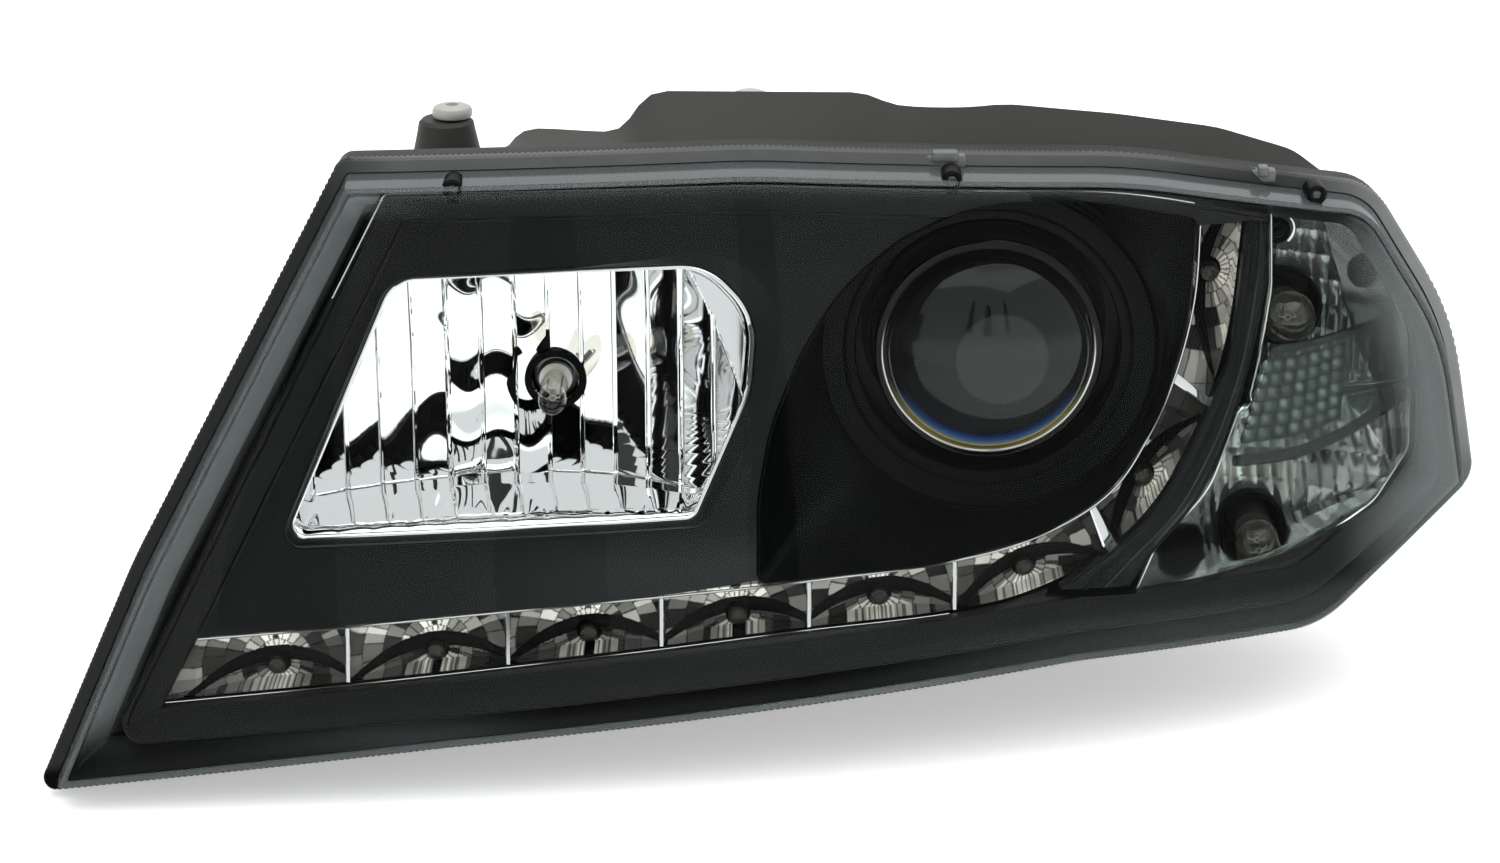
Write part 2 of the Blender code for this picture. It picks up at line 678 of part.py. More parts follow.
def build_led_reflector():
    """Trough open to the front, with dividers and a hole behind each LED."""
    def section(width):
        floor = TROUGH_BACK - TROUGH_WALL
        return [(0.2, TROUGH_FRONT), (0.2, TROUGH_BACK), (width - 0.2, TROUGH_BACK),
                (width - 0.2, TROUGH_FRONT), (width - TROUGH_WALL, TROUGH_FRONT),
                (width - TROUGH_WALL, floor), (TROUGH_WALL, floor), (TROUGH_WALL, TROUGH_FRONT)]

    outlines = [divider_outline((x, height_on(STRIP_TOP, x) - 1),
                                (x, height_on(STRIP_BOTTOM, x) + 1), 0.8, 0.8)
                for x in DIVIDER_X]
    outlines.append(divider_outline((114, -37.5), (121, -51), 1.2, 3))
    outlines.append([(141.6, -0.5), (142.6, 2.5), (155.8, -6.2), (154.0, -9.6)])
    trough = strip_bar(section)
    join(trough, *[prism(outline, behind_face(18.2), behind_face(29.2)) for outline in outlines])
    cut(trough, *[rod((x, face_y(x, z) + 24, z), BACK, 4, 12, 12) for x, z in LEDS])
    emit("led_reflector", trough, "chrome")


def build_led_board():
    front, back, inset = 30.5, 32, 0.6
    board = strip_bar(lambda width: [(inset, front), (inset, back), (width - inset, back),
                                     (width - inset, front)])
    join(board, *[rod((x, face_y(x, z) + 27.4, z), BACK, 3.2, 4, 10) for x, z in LEDS])
    emit("led_board", board, "circuit_board")


# ---------------------------------------------------------------- outer corner
def build_corner_covers():
    arc = prism(band(ARC_IN, ARC_OUT), behind_face(10), behind_face(16.5))
    emit("arc_bar", arc, "smoked_clear")
    emit("corner_wing", prism(WING, behind_face(11), behind_face(13.5)), "smoked_clear")


def build_tray(name, outline, hub, back_middle, back_radii, back_y, neck_axis, neck_r):
    """Reflector from an edge loop back through two ovals to a round neck."""
    neck_end, neck_wall = 126, 1.4
    edge, inner = grown(outline, 0, TRAY_STEP), grown(outline, -1.6, TRAY_STEP)

    def oval(points, growth):
        return oval_for(points, hub, back_middle, back_radii[0] + growth, back_radii[1] + growth)

    def neck_ring(radius, y):
        """Evenly spaced, starting in line with the edge's first point."""
        start = math.atan2(edge[0][1] - hub[1], edge[0][0] - hub[0])
        area = sum(p[0] * q[1] - q[0] * p[1] for p, q in zip(edge, edge[1:] + edge[:1]))
        step = math.copysign(2 * math.pi / len(edge), area)
        angles = [start + step * k for k in range(len(edge))]
        return placed([(neck_axis[0] + radius * math.cos(a), neck_axis[1] + radius * math.sin(a))
                       for a in angles], y)

    rings = [
        surfaced(edge, 17.5), surfaced(oval(edge, 2), 31), placed(oval(edge, -1), back_y),
        neck_ring(neck_r + neck_wall, back_y + 0.8), neck_ring(neck_r + neck_wall, neck_end),
        neck_ring(neck_r, neck_end), neck_ring(neck_r, back_y - 1.0),
        placed(oval(inner, -2.6), back_y - 1.8), surfaced(oval(inner, 0.4), 30),
        surfaced(inner, 17.5)]
    emit(name, loft(rings, closed=True), "chrome")


def build_corner_reflectors():
    build_tray("turn_reflector", TURN_EDGE, hub=(194, 14), back_middle=(191, 14),
               back_radii=(22, 17.5), back_y=101, neck_axis=TURN_AXIS, neck_r=12)
    build_tray("position_reflector", PARK_EDGE, hub=(184, -40), back_middle=(178, -56),
               back_radii=(28, 19.5), back_y=87, neck_axis=PARK_AXIS, neck_r=10)


def build_holder(name, axis, collar_r, collar_end, body_r, front_y, seal_y, bulb_r, bulb_y,
                 stem_r):
    """Twist-in bulb holder with its sealing ring and a capless globe bulb."""
    disc_r, disc_end = collar_r - 0.5, collar_end + 4
    seal = tube(at(axis, seal_y), BACK, body_r + 0.4, body_r + 2.5, 4.6, 20)
    emit(f"{name}_holder_seal", seal, "rubber", at(axis, seal_y))

    body = turned([(0, front_y), (body_r, front_y), (body_r, collar_end + 0.6),
                   (disc_r, collar_end + 0.6), (disc_r, disc_end), (0, disc_end)], axis, 20)
    grip = block((axis[0] - disc_r * 0.7, collar_end + 3.5, axis[1] - 2.5),
                 (axis[0] + disc_r * 0.7, collar_end + 13, axis[1] + 2.5))
    emit(f"{name}_holder", join(body, grip), "black_plastic", at(axis, collar_end))

    globe = arc_profile([math.pi * k / 9 for k in range(7)], bulb_r, bulb_r, bulb_y)
    globe += [(stem_r, bulb_y + bulb_r * 0.95), (stem_r, front_y - 0.2), (0, front_y - 0.2)]
    emit(f"{name}_bulb", turned(globe, axis, 18), "bulb_glass", at(axis, bulb_y))


def build_corner_bulbs():
    build_holder("turn", TURN_AXIS, TURN_COLLAR_R, TURN_COLLAR_END, body_r=11.5, front_y=112,
                 seal_y=136, bulb_r=9.5, bulb_y=82, stem_r=5.5)
    build_holder("position", PARK_AXIS, PARK_COLLAR_R, PARK_COLLAR_END, body_r=9.5, front_y=108,
                 seal_y=134.6, bulb_r=7.4, bulb_y=66, stem_r=4.8)


# ---------------------------------------------------------------- bulbs and fittings
# turned profiles here and below are radius, y
def build_clip(name, axis, hinge_x, free_x, half_height, y):
    """Spring wire that hooks over the bulb flange; it swings on the end next to hinge_x."""
    low, high = axis[1] - half_height, axis[1] + half_height
    path = [(hinge_x, y, low - 4), (hinge_x, y, low), (free_x, y, low), (free_x, y, high),
            (hinge_x + 2.2, y, high)]
    emit(name, wire(path, 0.8, 6), "steel", (hinge_x, y, axis[1]))


def build_plug(name, axis, half_size, front, back):
    x, z = axis
    plug = block((x - half_size, front, z - half_size), (x + half_size, back, z + half_size))
    emit(name, plug, "black_plastic", at(axis, front))


def build_high_beam_reflector():
    hole_r, wall = 8.5, 2
    shares = (0.0, 0.25, 0.5, 0.75, 1.0)    # of the way from the bulb hole to the rim
    rim_in, rim_out = (grown(HIGH_OPENING, growth, OPENING_STEP) for growth in (4, 6))

    def bowl_ring(rim, share, lift):
        ring = []
        for rim_x, rim_z in rim:
            ray = Vector((rim_x - HIGH_AXIS[0], rim_z - HIGH_AXIS[1]))
            step = ray.normalized() * (hole_r + (ray.length - hole_r) * share)
            x, z = HIGH_AXIS[0] + step.x, HIGH_AXIS[1] + step.y
            ring.append((x, max(high_bowl_y(x, z), face_y(x, z) + 26) + lift, z))
        return ring

    rings = [surfaced(rim_in, 24), surfaced(rim_out, 24)]
    rings += [bowl_ring(rim_out, share, wall) for share in reversed(shares)]
    rings += [bowl_ring(rim_in, share, 0) for share in shares]
    bowl = loft(rings, closed=True)
    posts_end = 85.2                        # just short of the aim frame
    posts = [(-105, 44.2, 20), (-105, 43.6, -28), (-30, 46.6, -24)]
    join(bowl, tube(at(HIGH_AXIS, 59), BACK, 9.2, 17, 7, 20),
         *[rod(post, BACK, 3.5, posts_end - post[1], 10) for post in posts])
    emit("high_beam_reflector", bowl, "chrome")


def build_high_beam_bulb():
    glass = [(0, 33.0), (2.6, 33.6), (4.2, 35), (4.75, 37.5), (4.75, 64.0), (4.2, 66), (0, 66)]
    emit("high_beam_bulb", turned(glass, HIGH_AXIS, 16), "bulb_glass")
    base = [(0, 66.3), (11, 66.3), (11, 68), (6, 68), (6, 75.6), (0, 75.6)]
    emit("high_beam_bulb_base", turned(base, HIGH_AXIS, 18), "steel")
    build_clip("high_beam_clip", HIGH_AXIS, hinge_x=-80.5, free_x=-52, half_height=8.6, y=69.2)
    build_plug("high_beam_plug", HIGH_AXIS, half_size=5, front=76, back=84)


# ---------------------------------------------------------------- projector
def build_projector_front():
    """Domed lens, its retaining ring and the carrier behind it."""
    dome = arc_profile([math.pi / 2 * k / 7 for k in range(8)], 34.4, 19, 52)
    dome += [(35.5, 52), (35.5, 55), (0, 55)]
    emit("projector_lens", turned(dome, LOW_AXIS, 32), "optic_glass")
    ring = [(34.9, 49.2), (36.0, 48.4), (38.5, 49.2), (38.5, 51.6), (34.9, 51.6)]
    emit("projector_ring", turned(ring, LOW_AXIS, 32), "chrome")
    carrier = [(35.9, 51.9), (38.3, 51.9), (38.3, 78.5), (42, 78.5), (42, 82), (33.2, 82),
               (33.2, 55.3), (35.9, 55.3)]
    emit("projector_holder", turned(carrier, LOW_AXIS, 32), "cast_alloy")


def build_cutoff_shield():
    """Lower half disc with a stepped top edge."""
    x, z = LOW_AXIS
    radius, drop = 32.6, 2.4
    angles = [math.pi + math.pi * k / 14 for k in range(15)]
    outline = [(x + radius * math.cos(a), z + radius * math.sin(a)) for a in angles]
    outline += [(x + 6, z), (x, z - drop), (x - 10, z - drop)]
    emit("cutoff_shield", prism(outline, 78, 79.2), "steel")


def build_projector_reflector():
    angles = [math.pi / 2 * (1 - k / 6) for k in range(1, 5)]
    shell = [(33.6, 82.3), (42, 82.3), (42, 85.1), (36.2, 85.1)]
    shell += arc_profile(angles, 36.2, -36, 84)
    shell += [(16, 117.5), (16, 121), (11.5, 121), (11.5, 116)]
    shell += arc_profile(angles[::-1], 34.2, -34, 84)
    emit("projector_reflector", turned(shell, LOW_AXIS, 22), "aluminium")


def build_low_beam_bulb():
    glass = [(0, 98), (3, 98.6), (5.2, 100.5), (6, 103.5), (6, 120), (0, 120)]
    emit("low_beam_bulb", turned(glass, LOW_AXIS, 16), "bulb_glass")
    base = [(0, 120.2), (6.6, 120.2), (6.6, 121.3), (13, 121.3), (13, 123.6), (9, 123.6),
            (9, 132.4), (0, 132.4)]
    emit("low_beam_bulb_base", turned(base, LOW_AXIS, 18), "steel")
    build_clip("low_beam_clip", LOW_AXIS, hinge_x=63, free_x=97, half_height=10.6, y=124.8)
    build_plug("low_beam_plug", LOW_AXIS, half_size=8, front=133, back=144)


def build_cover(name, axis, can_r, can_end):
    """Service cover that caps a housing can, with its flat sealing ring and a grip bar."""
    seal = tube(at(axis, can_end + 0.2), BACK, can_r - 2.6, can_r, 2.0, 28)
    emit(f"{name}_seal", seal, "rubber", at(axis, can_end))
    cap = turned([(0, can_end + 2.6), (can_r + 0.6, can_end + 2.6), (can_r + 0.6, can_end - 8),
                  (can_r + 3, can_end - 8), (can_r + 3, can_end + 3.6),
                  (can_r + 1, can_end + 5.4), (0, can_end + 5.4)], axis, 30)
    grip = block((axis[0] - can_r * 0.62, can_end + 5, axis[1] - 3),
                 (axis[0] + can_r * 0.62, can_end + 14, axis[1] + 3))
    emit(name, join(cap, grip), "rubber", at(axis, can_end))


# ---------------------------------------------------------------- aim frame and adjusters
PIVOT_BALL, AIM_BALL, LEVEL_BALL = (at(axis, BALL_Y) for axis in
                                    (PIVOT_AXIS, AIM_AXIS, LEVEL_AXIS))
PIVOT_BALL_R, SMALL_BALL_R = 5, 4.5


def build_aim_frame():
    frame = prism(FRAME, 85.5, 90)
    # axis, radius, sides
    holes = [(LOW_AXIS, 37.2, 32), (HIGH_AXIS, 22, 24), (PIVOT_AXIS, 8.2, 16),
             (AIM_AXIS, 7.5, 16), (LEVEL_AXIS, 7.5, 16)]
    window = [(-12, -34), (14, -34), (30, -22), (31, 30), (14, 38), (-12, 26)]
    cut(frame, *[rod(at(axis, 80), BACK, radius, 16, sides) for axis, radius, sides in holes],
        block((-82, 80, -55), (-24, 96, -36)), prism(window, 80, 96))
    emit("aim_frame", frame, "black_plastic", PIVOT_BALL)


def build_socket(name, ball, ball_r):
    """Snap-on ball socket, open at the back."""
    r_in = ball_r + 0.35
    r_out = ball_r + (2.8 if ball_r == PIVOT_BALL_R else 2.7)
    angles = [math.radians(t) for t in (0, 30, 60, 90, 118)]
    profile = arc_profile(angles, r_in, r_in) + arc_profile(angles[::-1], r_out, r_out)
    emit(name, lathe(profile, ball, BACK, 14), "white_nylon", ball)


def stud(ball, radius, neck_r, shank):
    """Ball with its neck and shank; shank is radius, distance behind the ball's centre."""
    last_angle = math.pi - math.asin(neck_r / radius)
    profile = arc_profile([last_angle * k / 6 for k in range(7)], radius, radius)
    return lathe(profile + shank + [(0, shank[-1][1])], ball, BACK, 14)


def build_balls():
    pivot = stud(PIVOT_BALL, PIVOT_BALL_R, 2.8, [(2.8, 12), (5, 14), (5, 38.6)])
    emit("pivot_ball", pivot, "steel", PIVOT_BALL)
    spindle = stud(LEVEL_BALL, SMALL_BALL_R, 2.4, [(2.4, 8), (3.4, 10), (3.4, 58)])
    emit("levelling_spindle", spindle, "white_nylon", LEVEL_BALL)
    build_socket("pivot_bush", PIVOT_BALL, PIVOT_BALL_R)
    build_socket("adjuster_socket", AIM_BALL, SMALL_BALL_R)
    build_socket("level_socket", LEVEL_BALL, SMALL_BALL_R)


def build_adjuster():
    """Ball-ended nut, its screw, and the upright shaft; profiles are radius, distance."""
    nut = arc_profile([2.6 * k / 6 for k in range(7)], SMALL_BALL_R, SMALL_BALL_R)
    nut += [(2.2, 6), (6, 6.4), (6, 16), (3.5, 16), (3.5, 7.4), (0, 7.4)]
    emit("adjuster_nut", lathe(nut, AIM_BALL, BACK, 14), "white_nylon", AIM_BALL)
    screw = [(0, 11), (2.9, 11), (2.9, 20), (3.7, 20), (3.7, 25), (10, 25.2), (6.5, 29.4),
             (3, 29.4), (0, 29.4)]
    emit("adjuster_screw", lathe(screw, AIM_BALL, BACK, 14), "steel", AIM_BALL)
    shaft = [(0, -47.5), (5.2, -47.5), (7.2, -43.2), (2.4, -43.2), (2.4, 65.2), (6.2, 65.2),
             (6.2, 68), (4.6, 69), (0, 69)]
    foot = (AIM_X, SHAFT_Y, 0)
    emit("adjuster_shaft", lathe(shaft, foot, UP, 12), "grey_nylon", foot)


def build_levelling():
    """Levelling motor with a hollow box below it, open downwards, and the thumb wheel."""
    motor = turned([(0, 128), (6.4, 128), (6.4, 135.6), (19, 135.6), (19, 139), (16.5, 139),
                    (16.5, 166), (14, 168.5), (0, 168.5)], LEVEL_AXIS, 24)
    join(motor, block((LEVEL_X - 8, 150, LEVEL_Z - 27), (LEVEL_X + 8, 166, LEVEL_Z - 10)))
    cut(motor, rod(at(LEVEL_AXIS, 120), BACK, 3.9, 34, 12),
        block((LEVEL_X - 6, 152, LEVEL_Z - 30), (LEVEL_X + 6, 164, LEVEL_Z - 19)))
    emit("levelling_motor", motor, "black_plastic")
    wheel = [(0, 66), (2.2, 66), (2.2, 84.6), (6.4, 84.6), (6.4, 87.6), (5.2, 88.6), (0, 88.6)]
    foot = (LEVEL_X, KNOB_Y, 0)
    emit("levelling_wheel", lathe(wheel, foot, UP, 12), "grey_nylon", foot)


# ---------------------------------------------------------------- outside fittings
def build_outside_fittings():
    connector = block((24, 135.3, -82), (56, 158, -60))
    cut(connector, block((27, 139, -79), (53, 165, -63)))
    emit("main_connector", connector, "black_plastic")
    emit("led_driver", block((98, 135.3, -76), (146, 149, -44)), "cast_alloy")
    path = [(-124, 112.4, -20), (-124, 124, -20), (-124, 130, -26), (-124, 130, -44)]
    emit("breather", wire(path, 6, 12), "rubber")


# ---------------------------------------------------------------- build
for old in list(bpy.data.objects):
    bpy.data.objects.remove(old, do_unlink=True)
MATERIALS = {name: make_material(name, *look) for name, look in LOOKS.items()}

build_front_lens()
build_housing()
build_lens_bead()
build_tab_sleeves()
build_bezel()
build_bezel_screws()
build_high_beam_trim()
build_projector_dish()
build_led_reflector()
build_led_board()
build_corner_covers()
build_corner_reflectors()
build_corner_bulbs()
build_high_beam_reflector()
build_high_beam_bulb()
build_projector_front()
build_cutoff_shield()
build_projector_reflector()
build_low_beam_bulb()
build_cover("low_beam_cover", LOW_AXIS, LOW_CAN_R, LOW_CAN_END)
build_cover("high_beam_cover", HIGH_COVER_AXIS, HIGH_CAN_R, HIGH_CAN_END)
build_aim_frame()
build_balls()
build_adjuster()
build_levelling()
build_outside_fittings()
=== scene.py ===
"""Looks of the car headlight assembly: fine lens, bezel, optics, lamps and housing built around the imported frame.

Design coordinates are in millimetres as in the CAD source; REF moves them to the frame's origin.
"""
import math

import bpy
import bmesh
from mathutils import Matrix, Vector


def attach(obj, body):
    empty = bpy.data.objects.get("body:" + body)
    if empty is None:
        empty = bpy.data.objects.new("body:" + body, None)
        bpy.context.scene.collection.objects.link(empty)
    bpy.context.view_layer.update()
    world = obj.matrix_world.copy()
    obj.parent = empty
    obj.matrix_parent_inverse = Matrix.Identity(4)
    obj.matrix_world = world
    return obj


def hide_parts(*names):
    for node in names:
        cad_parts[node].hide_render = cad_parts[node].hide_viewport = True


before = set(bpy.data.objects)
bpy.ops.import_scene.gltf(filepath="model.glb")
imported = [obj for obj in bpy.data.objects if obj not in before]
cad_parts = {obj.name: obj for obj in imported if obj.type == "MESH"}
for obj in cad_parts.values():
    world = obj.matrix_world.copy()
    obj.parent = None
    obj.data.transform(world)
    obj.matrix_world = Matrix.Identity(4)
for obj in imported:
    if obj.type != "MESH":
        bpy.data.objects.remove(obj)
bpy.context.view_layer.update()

# ------------------------------------------------------------------ driving dimensions (mm)
REF = Vector((-54.0, 124.0, 58.0))      # a point on the inner mounting tab's top pad
LAMP_LEFT, LAMP_LENGTH = -235.0, 470.0  # used by the sweep of the front face
RAKE = 0.30                             # front face leans back by this much per mm of height
BELLY = 0.0004                          # and is slightly crowned
LENS_WALL = 2.4
PIVOT = (0.0, 88.0, -54.0)              # fixed ball of the aim frame
AIM_BALL = (-104.0, 88.0, -54.0)        # ball of the sideways adjuster
LEVEL_BALL = (0.0, 88.0, 50.0)          # ball of the levelling motor
LOW_AXIS = (80.0, 11.0)                 # x, z of the projector
HIGH_AXIS = (-66.0, -3.0)               # x, z of the main-beam bulb
TURN_AXIS = (185.0, 12.0)
PARK_AXIS = (176.0, -64.0)
HIGH_VERTEX, HIGH_4F = 61.0, 123.0      # paraboloid of the main-beam reflector
LENS_R, HOLDER_R = 35.0, 39.0
DISH_HOLE_R = 44.5

# outlines seen from the front: x, z, corner radius
FLANGE = [(-133, 82, 6), (-200, -41, 220), (-233, -115, 4), (-100, -103, 300), (110, -88, 220), (196, -88, 36),
          (254, -47, 9), (245, 8, 90), (214, 56, 26), (127, 74, 240), (0, 83, 300)]
BEZEL = [(-118, 72, 3), (-165, -14, 220), (-208, -97, 7), (-100, -90, 300), (110, -75, 220), (190, -75, 34),
         (240, -43, 11), (231, 6, 80), (203, 46, 24), (125, 63, 240), (0, 72, 300)]
HIGH_OPENING = [(-116, 45, 12), (-152, -36, 5), (-18, -33, 5), (0, 6, 30), (2, 30, 22), (-14, 46.5, 22), (-60, 46.5, 200)]
CORNER_OPENING = [(175, 49, 3), (175, 26, 60), (168, -6, 60), (154, -36, 50), (134, -55, 20), (127, -66, 2),
                  (156, -64, 200), (184, -59, 100), (214, -47, 14), (227, -32, 8), (226, 4, 40), (211, 36, 24), (192, 46, 60)]
DISH = [(49, 52, 30), (30, 38, 60), (17, 19, 60), (7, -4, 60), (3, -26, 60), (3, -52.5, 3), (60, -50.5, 60),
        (96, -44.5, 60), (120, -33.5, 50), (138, -9, 60), (147, 20, 60), (149.5, 52, 3), (112, 61, 60), (76, 62.5, 60)]
STRIP_TOP = [(-179, -65), (-132, -62), (-82, -58.5), (-30, -55.5), (18, -53), (66, -50), (96, -44.5), (120, -33),
             (134, -15), (143, 4), (149, 26), (151, 50)]
STRIP_BOTTOM = [(-191, -86), (-134, -81.5), (-81, -77), (-30, -73), (18, -69.5), (66, -67.5), (92, -64), (117, -54.5),
                (137, -38), (152, -14), (162, 14), (167, 50)]
CELL_ENDS = [-131, -79, -29, 19.5, 68]   # x of the straight dividers of the light strip
# housing behind the groove, and its rear wall
HOUSING_MID = [(-122, 62), (-88, 66), (-76, 80), (-44, 78), (-34, 92.5), (40, 92), (46, 87.5), (80, 86), (84, 87),
               (125, 81), (160, 74), (188, 64), (214, 44), (234, 12), (240, -20), (240, -42), (222, -60), (192, -84),
               (110, -88), (0, -92), (-100, -98), (-192, -104), (-197, -98), (-165, -20)]
HOUSING_REAR = [(-116, 58), (-88, 60), (-72, 60), (-46, 60), (-32, 72), (40, 72), (60, 67), (120, 61), (170, 50),
                (208, 32), (219, 0), (217, -40), (200, -74), (180, -88), (110, -92), (0, -93), (-100, -94),
                (-150, -90), (-158, -74), (-140, 0)]
CENTRE = (10.0, -5.0)                    # the lofts of the housing run out from here

LOOP_STEP = 6.0                         # spacing of outline points on the straights
ARC_STEPS = 8
ROUND = 72                               # sides of a round piece


# ------------------------------------------------------------------ front surface
def face_y(x, z):
    """Depth of the front lens at x, z."""
    u = (x - LAMP_LEFT) / LAMP_LENGTH
    return 12 * u + 75 * u ** 3 - 15.4 + RAKE * z + BELLY * (z + 10) ** 2


def smooth(t):
    t = min(1.0, max(0.0, t))
    return t * t * (3 - 2 * t)


def rear_y(x):
    """Rear wall of the housing: shallow behind the main beam, deeper behind the projector."""
    return 112 + 23 * smooth((x + 45) / 55)


def mid_y(x, z):
    """Depth at which the housing narrows behind the lens groove; it stays clear of the groove where the lens wraps round."""
    return max(80 + 22 * smooth((x - 120) / 110), face_y(x, z) + 39)


def high_bowl(x, z):
    return HIGH_VERTEX - ((x - HIGH_AXIS[0]) ** 2 + (z - HIGH_AXIS[1]) ** 2) / HIGH_4F


# ------------------------------------------------------------------ outlines
def offset(ctrl, d):
    """The control polygon moved outward by d, mitred, corner radii kept in step."""
    out, n = [], len(ctrl)
    area = sum(ctrl[i][0] * ctrl[(i + 1) % n][1] - ctrl[(i + 1) % n][0] * ctrl[i][1] for i in range(n))
    sign = 1 if area > 0 else -1
    for i in range(n):
        p, q, r = ctrl[i - 1], ctrl[i], ctrl[(i + 1) % n]
        a = Vector((q[0] - p[0], q[1] - p[1])).normalized()
        b = Vector((r[0] - q[0], r[1] - q[1])).normalized()
        na, nb = Vector((a.y, -a.x)) * sign, Vector((b.y, -b.x)) * sign
        m = (na + nb) / (1 + na.dot(nb))
        convex = (a.x * b.y - a.y * b.x) * sign > 0
        radius = max(0.6, q[2] + (d if convex else -d))
        out.append((q[0] + m.x * d, q[1] + m.y * d, radius))
    return out


def trace(ctrl, reference=None, step=None, arc=None):
    """Points along a polygon with rounded corners; polygons with one reference get matching points."""
    step, arc = step or LOOP_STEP, arc or ARC_STEPS
    reference = reference or ctrl
    n, pts = len(ctrl), []
    for i in range(n):
        p, q, r = (Vector(ctrl[i - 1][:2]), Vector(ctrl[i][:2]), Vector(ctrl[(i + 1) % n][:2]))
        a, b = (p - q), (r - q)
        la, lb = a.length, b.length
        a, b = a / la, b / lb
        half = math.acos(max(-1, min(1, a.dot(b)))) / 2
        reach = min(ctrl[i][2] / max(math.tan(half), 1e-6), 0.48 * la, 0.48 * lb)
        radius = reach * math.tan(half)
        bis = (a + b)
        if bis.length < 1e-6 or radius < 1e-6:
            arc_pts = [q] * (arc + 1)
        else:
            c = q + bis.normalized() * (radius / math.sin(half))
            s0, s1 = q + a * reach - c, q + b * reach - c
            turn = s0.angle_signed(s1) * -1
            arc_pts = [c + Matrix.Rotation(turn * k / arc, 2) @ s0 for k in range(arc + 1)]
        pts += arc_pts
        ref_len = (Vector(reference[(i + 1) % n][:2]) - Vector(reference[i][:2])).length
        m = max(0, round(ref_len / step) - 1)
        # the straight up to the next corner's arc is filled in below
        pts.append(("gap", m))
    flat, out = pts + [pts[0]], []
    for k, item in enumerate(pts):
        if isinstance(item, tuple):
            before, after = flat[k - 1], flat[k + 1]
            for j in range(item[1]):
                out.append(before.lerp(after, (j + 1) / (item[1] + 1)))
        else:
            out.append(item)
    return [(v.x, v.y) for v in out]


def dense(points, radii=None, step=4.0):
    """A closed chain of x, z points, filled in."""
    out = []
    for i, p in enumerate(points):
        q = points[(i + 1) % len(points)]
        k = max(1, int(math.dist(p[:2], q[:2]) / step))
        out += [(p[0] + (q[0] - p[0]) * j / k, p[1] + (q[1] - p[1]) * j / k) for j in range(k)]
    return out


def cast(points, centre, target):
    """Where the ray from centre towards target leaves the closed chain of points."""
    dx, dz = target[0] - centre[0], target[1] - centre[1]
    best = None
    for i, p in enumerate(points):
        q = points[(i + 1) % len(points)]
        ex, ez = q[0] - p[0], q[1] - p[1]
        den = dx * ez - dz * ex
        if abs(den) < 1e-9:
            continue
        t = ((p[0] - centre[0]) * ez - (p[1] - centre[1]) * ex) / den
        s = ((p[0] - centre[0]) * dz - (p[1] - centre[1]) * dx) / den
        if t > 0 and -1e-9 <= s <= 1 + 1e-9 and (best is None or t > best):
            best = t
    return (centre[0] + dx * best, centre[1] + dz * best)


def scaled(points, centre, s):
    return [(centre[0] + (p[0] - centre[0]) * s, centre[1] + (p[1] - centre[1]) * s) for p in points]


# ------------------------------------------------------------------ solids

def solid(verts, faces):
    """A temporary closed object in design millimetres, faces pointing out."""
    mesh = bpy.data.meshes.new("work")
    bm = bmesh.new()
    vs = [bm.verts.new(v) for v in verts]
    for f in faces:
        f = [i for k, i in enumerate(f) if i != f[k - 1]]
        if len(f) > 2:
            bm.faces.new([vs[i] for i in f])
    bmesh.ops.remove_doubles(bm, verts=bm.verts, dist=1e-4)
    bmesh.ops.recalc_face_normals(bm, faces=bm.faces)
    bm.to_mesh(mesh)
    bm.free()
    obj = bpy.data.objects.new("work", mesh)
    bpy.context.scene.collection.objects.link(obj)
    return obj


def loft(rings, first="fan", last="fan", ring_closed=False):
    """A solid from matching closed rings; its two ends are closed, or joined to each other."""
    n = len(rings[0])
    verts = [p for ring in rings for p in ring]
    faces = []
    for k in range(len(rings) - (0 if ring_closed else 1)):
        a, b = k * n, ((k + 1) % len(rings)) * n
        for i in range(n):
            j = (i + 1) % n
            faces.append((a + i, a + j, b + j, b + i))
    if not ring_closed:
        for base, kind in ((0, first), ((len(rings) - 1) * n, last)):
            if kind == "flat":
                faces.append(tuple(base + i for i in range(n)))
            else:
                c = [sum(verts[base + i][k] for i in range(n)) / n for k in range(3)] if kind == "fan" else kind
                verts.append(tuple(c))
                faces += [(base + i, base + (i + 1) % n, len(verts) - 1) for i in range(n)]
    return solid(verts, faces)


def basis(direction):
    d = Vector(direction).normalized()
    side = Vector((0, 0, 1)) if abs(d.z) < 0.9 else Vector((1, 0, 0))
    u = d.cross(side).normalized()
    return u, d.cross(u).normalized(), d


def lathe(profile, at, direction, n=None, turn=0.0):
    """Turned solid: profile is a chain of radius, distance along direction, closed by the axis or by itself."""
    n = n or ROUND
    u, v, d = basis(direction)
    at = Vector(at)
    rings = []
    for k in range(n):
        a = 2 * math.pi * (k + turn) / n
        radial = u * math.cos(a) + v * math.sin(a)
        rings.append([tuple(at + radial * r + d * t) for r, t in profile])
    m = len(profile)
    verts = [p for ring in rings for p in ring]
    faces = []
    on_axis = profile[0][0] == 0 and profile[-1][0] == 0
    for k in range(n):
        a, b = k * m, ((k + 1) % n) * m
        for i in range(m - 1 if on_axis else m):
            j = (i + 1) % m
            faces.append((a + i, a + j, b + j, b + i))
    return solid_merged(verts, faces)


def solid_merged(verts, faces):
    """As solid, with points on an axis made one first."""
    keep, index = {}, []
    out = []
    for v in verts:
        key = tuple(round(c, 4) for c in v)
        if key not in keep:
            keep[key] = len(out)
            out.append(v)
        index.append(keep[key])
    clean = []
    for f in faces:
        g = []
        for i in f:
            if index[i] not in g:
                g.append(index[i])
        if len(g) > 2:
            clean.append(tuple(g))
    return solid(out, clean)


def rod(at, direction, r, length, n=None):
    return lathe([(0, 0), (r, 0), (r, length), (0, length)], at, direction, n)


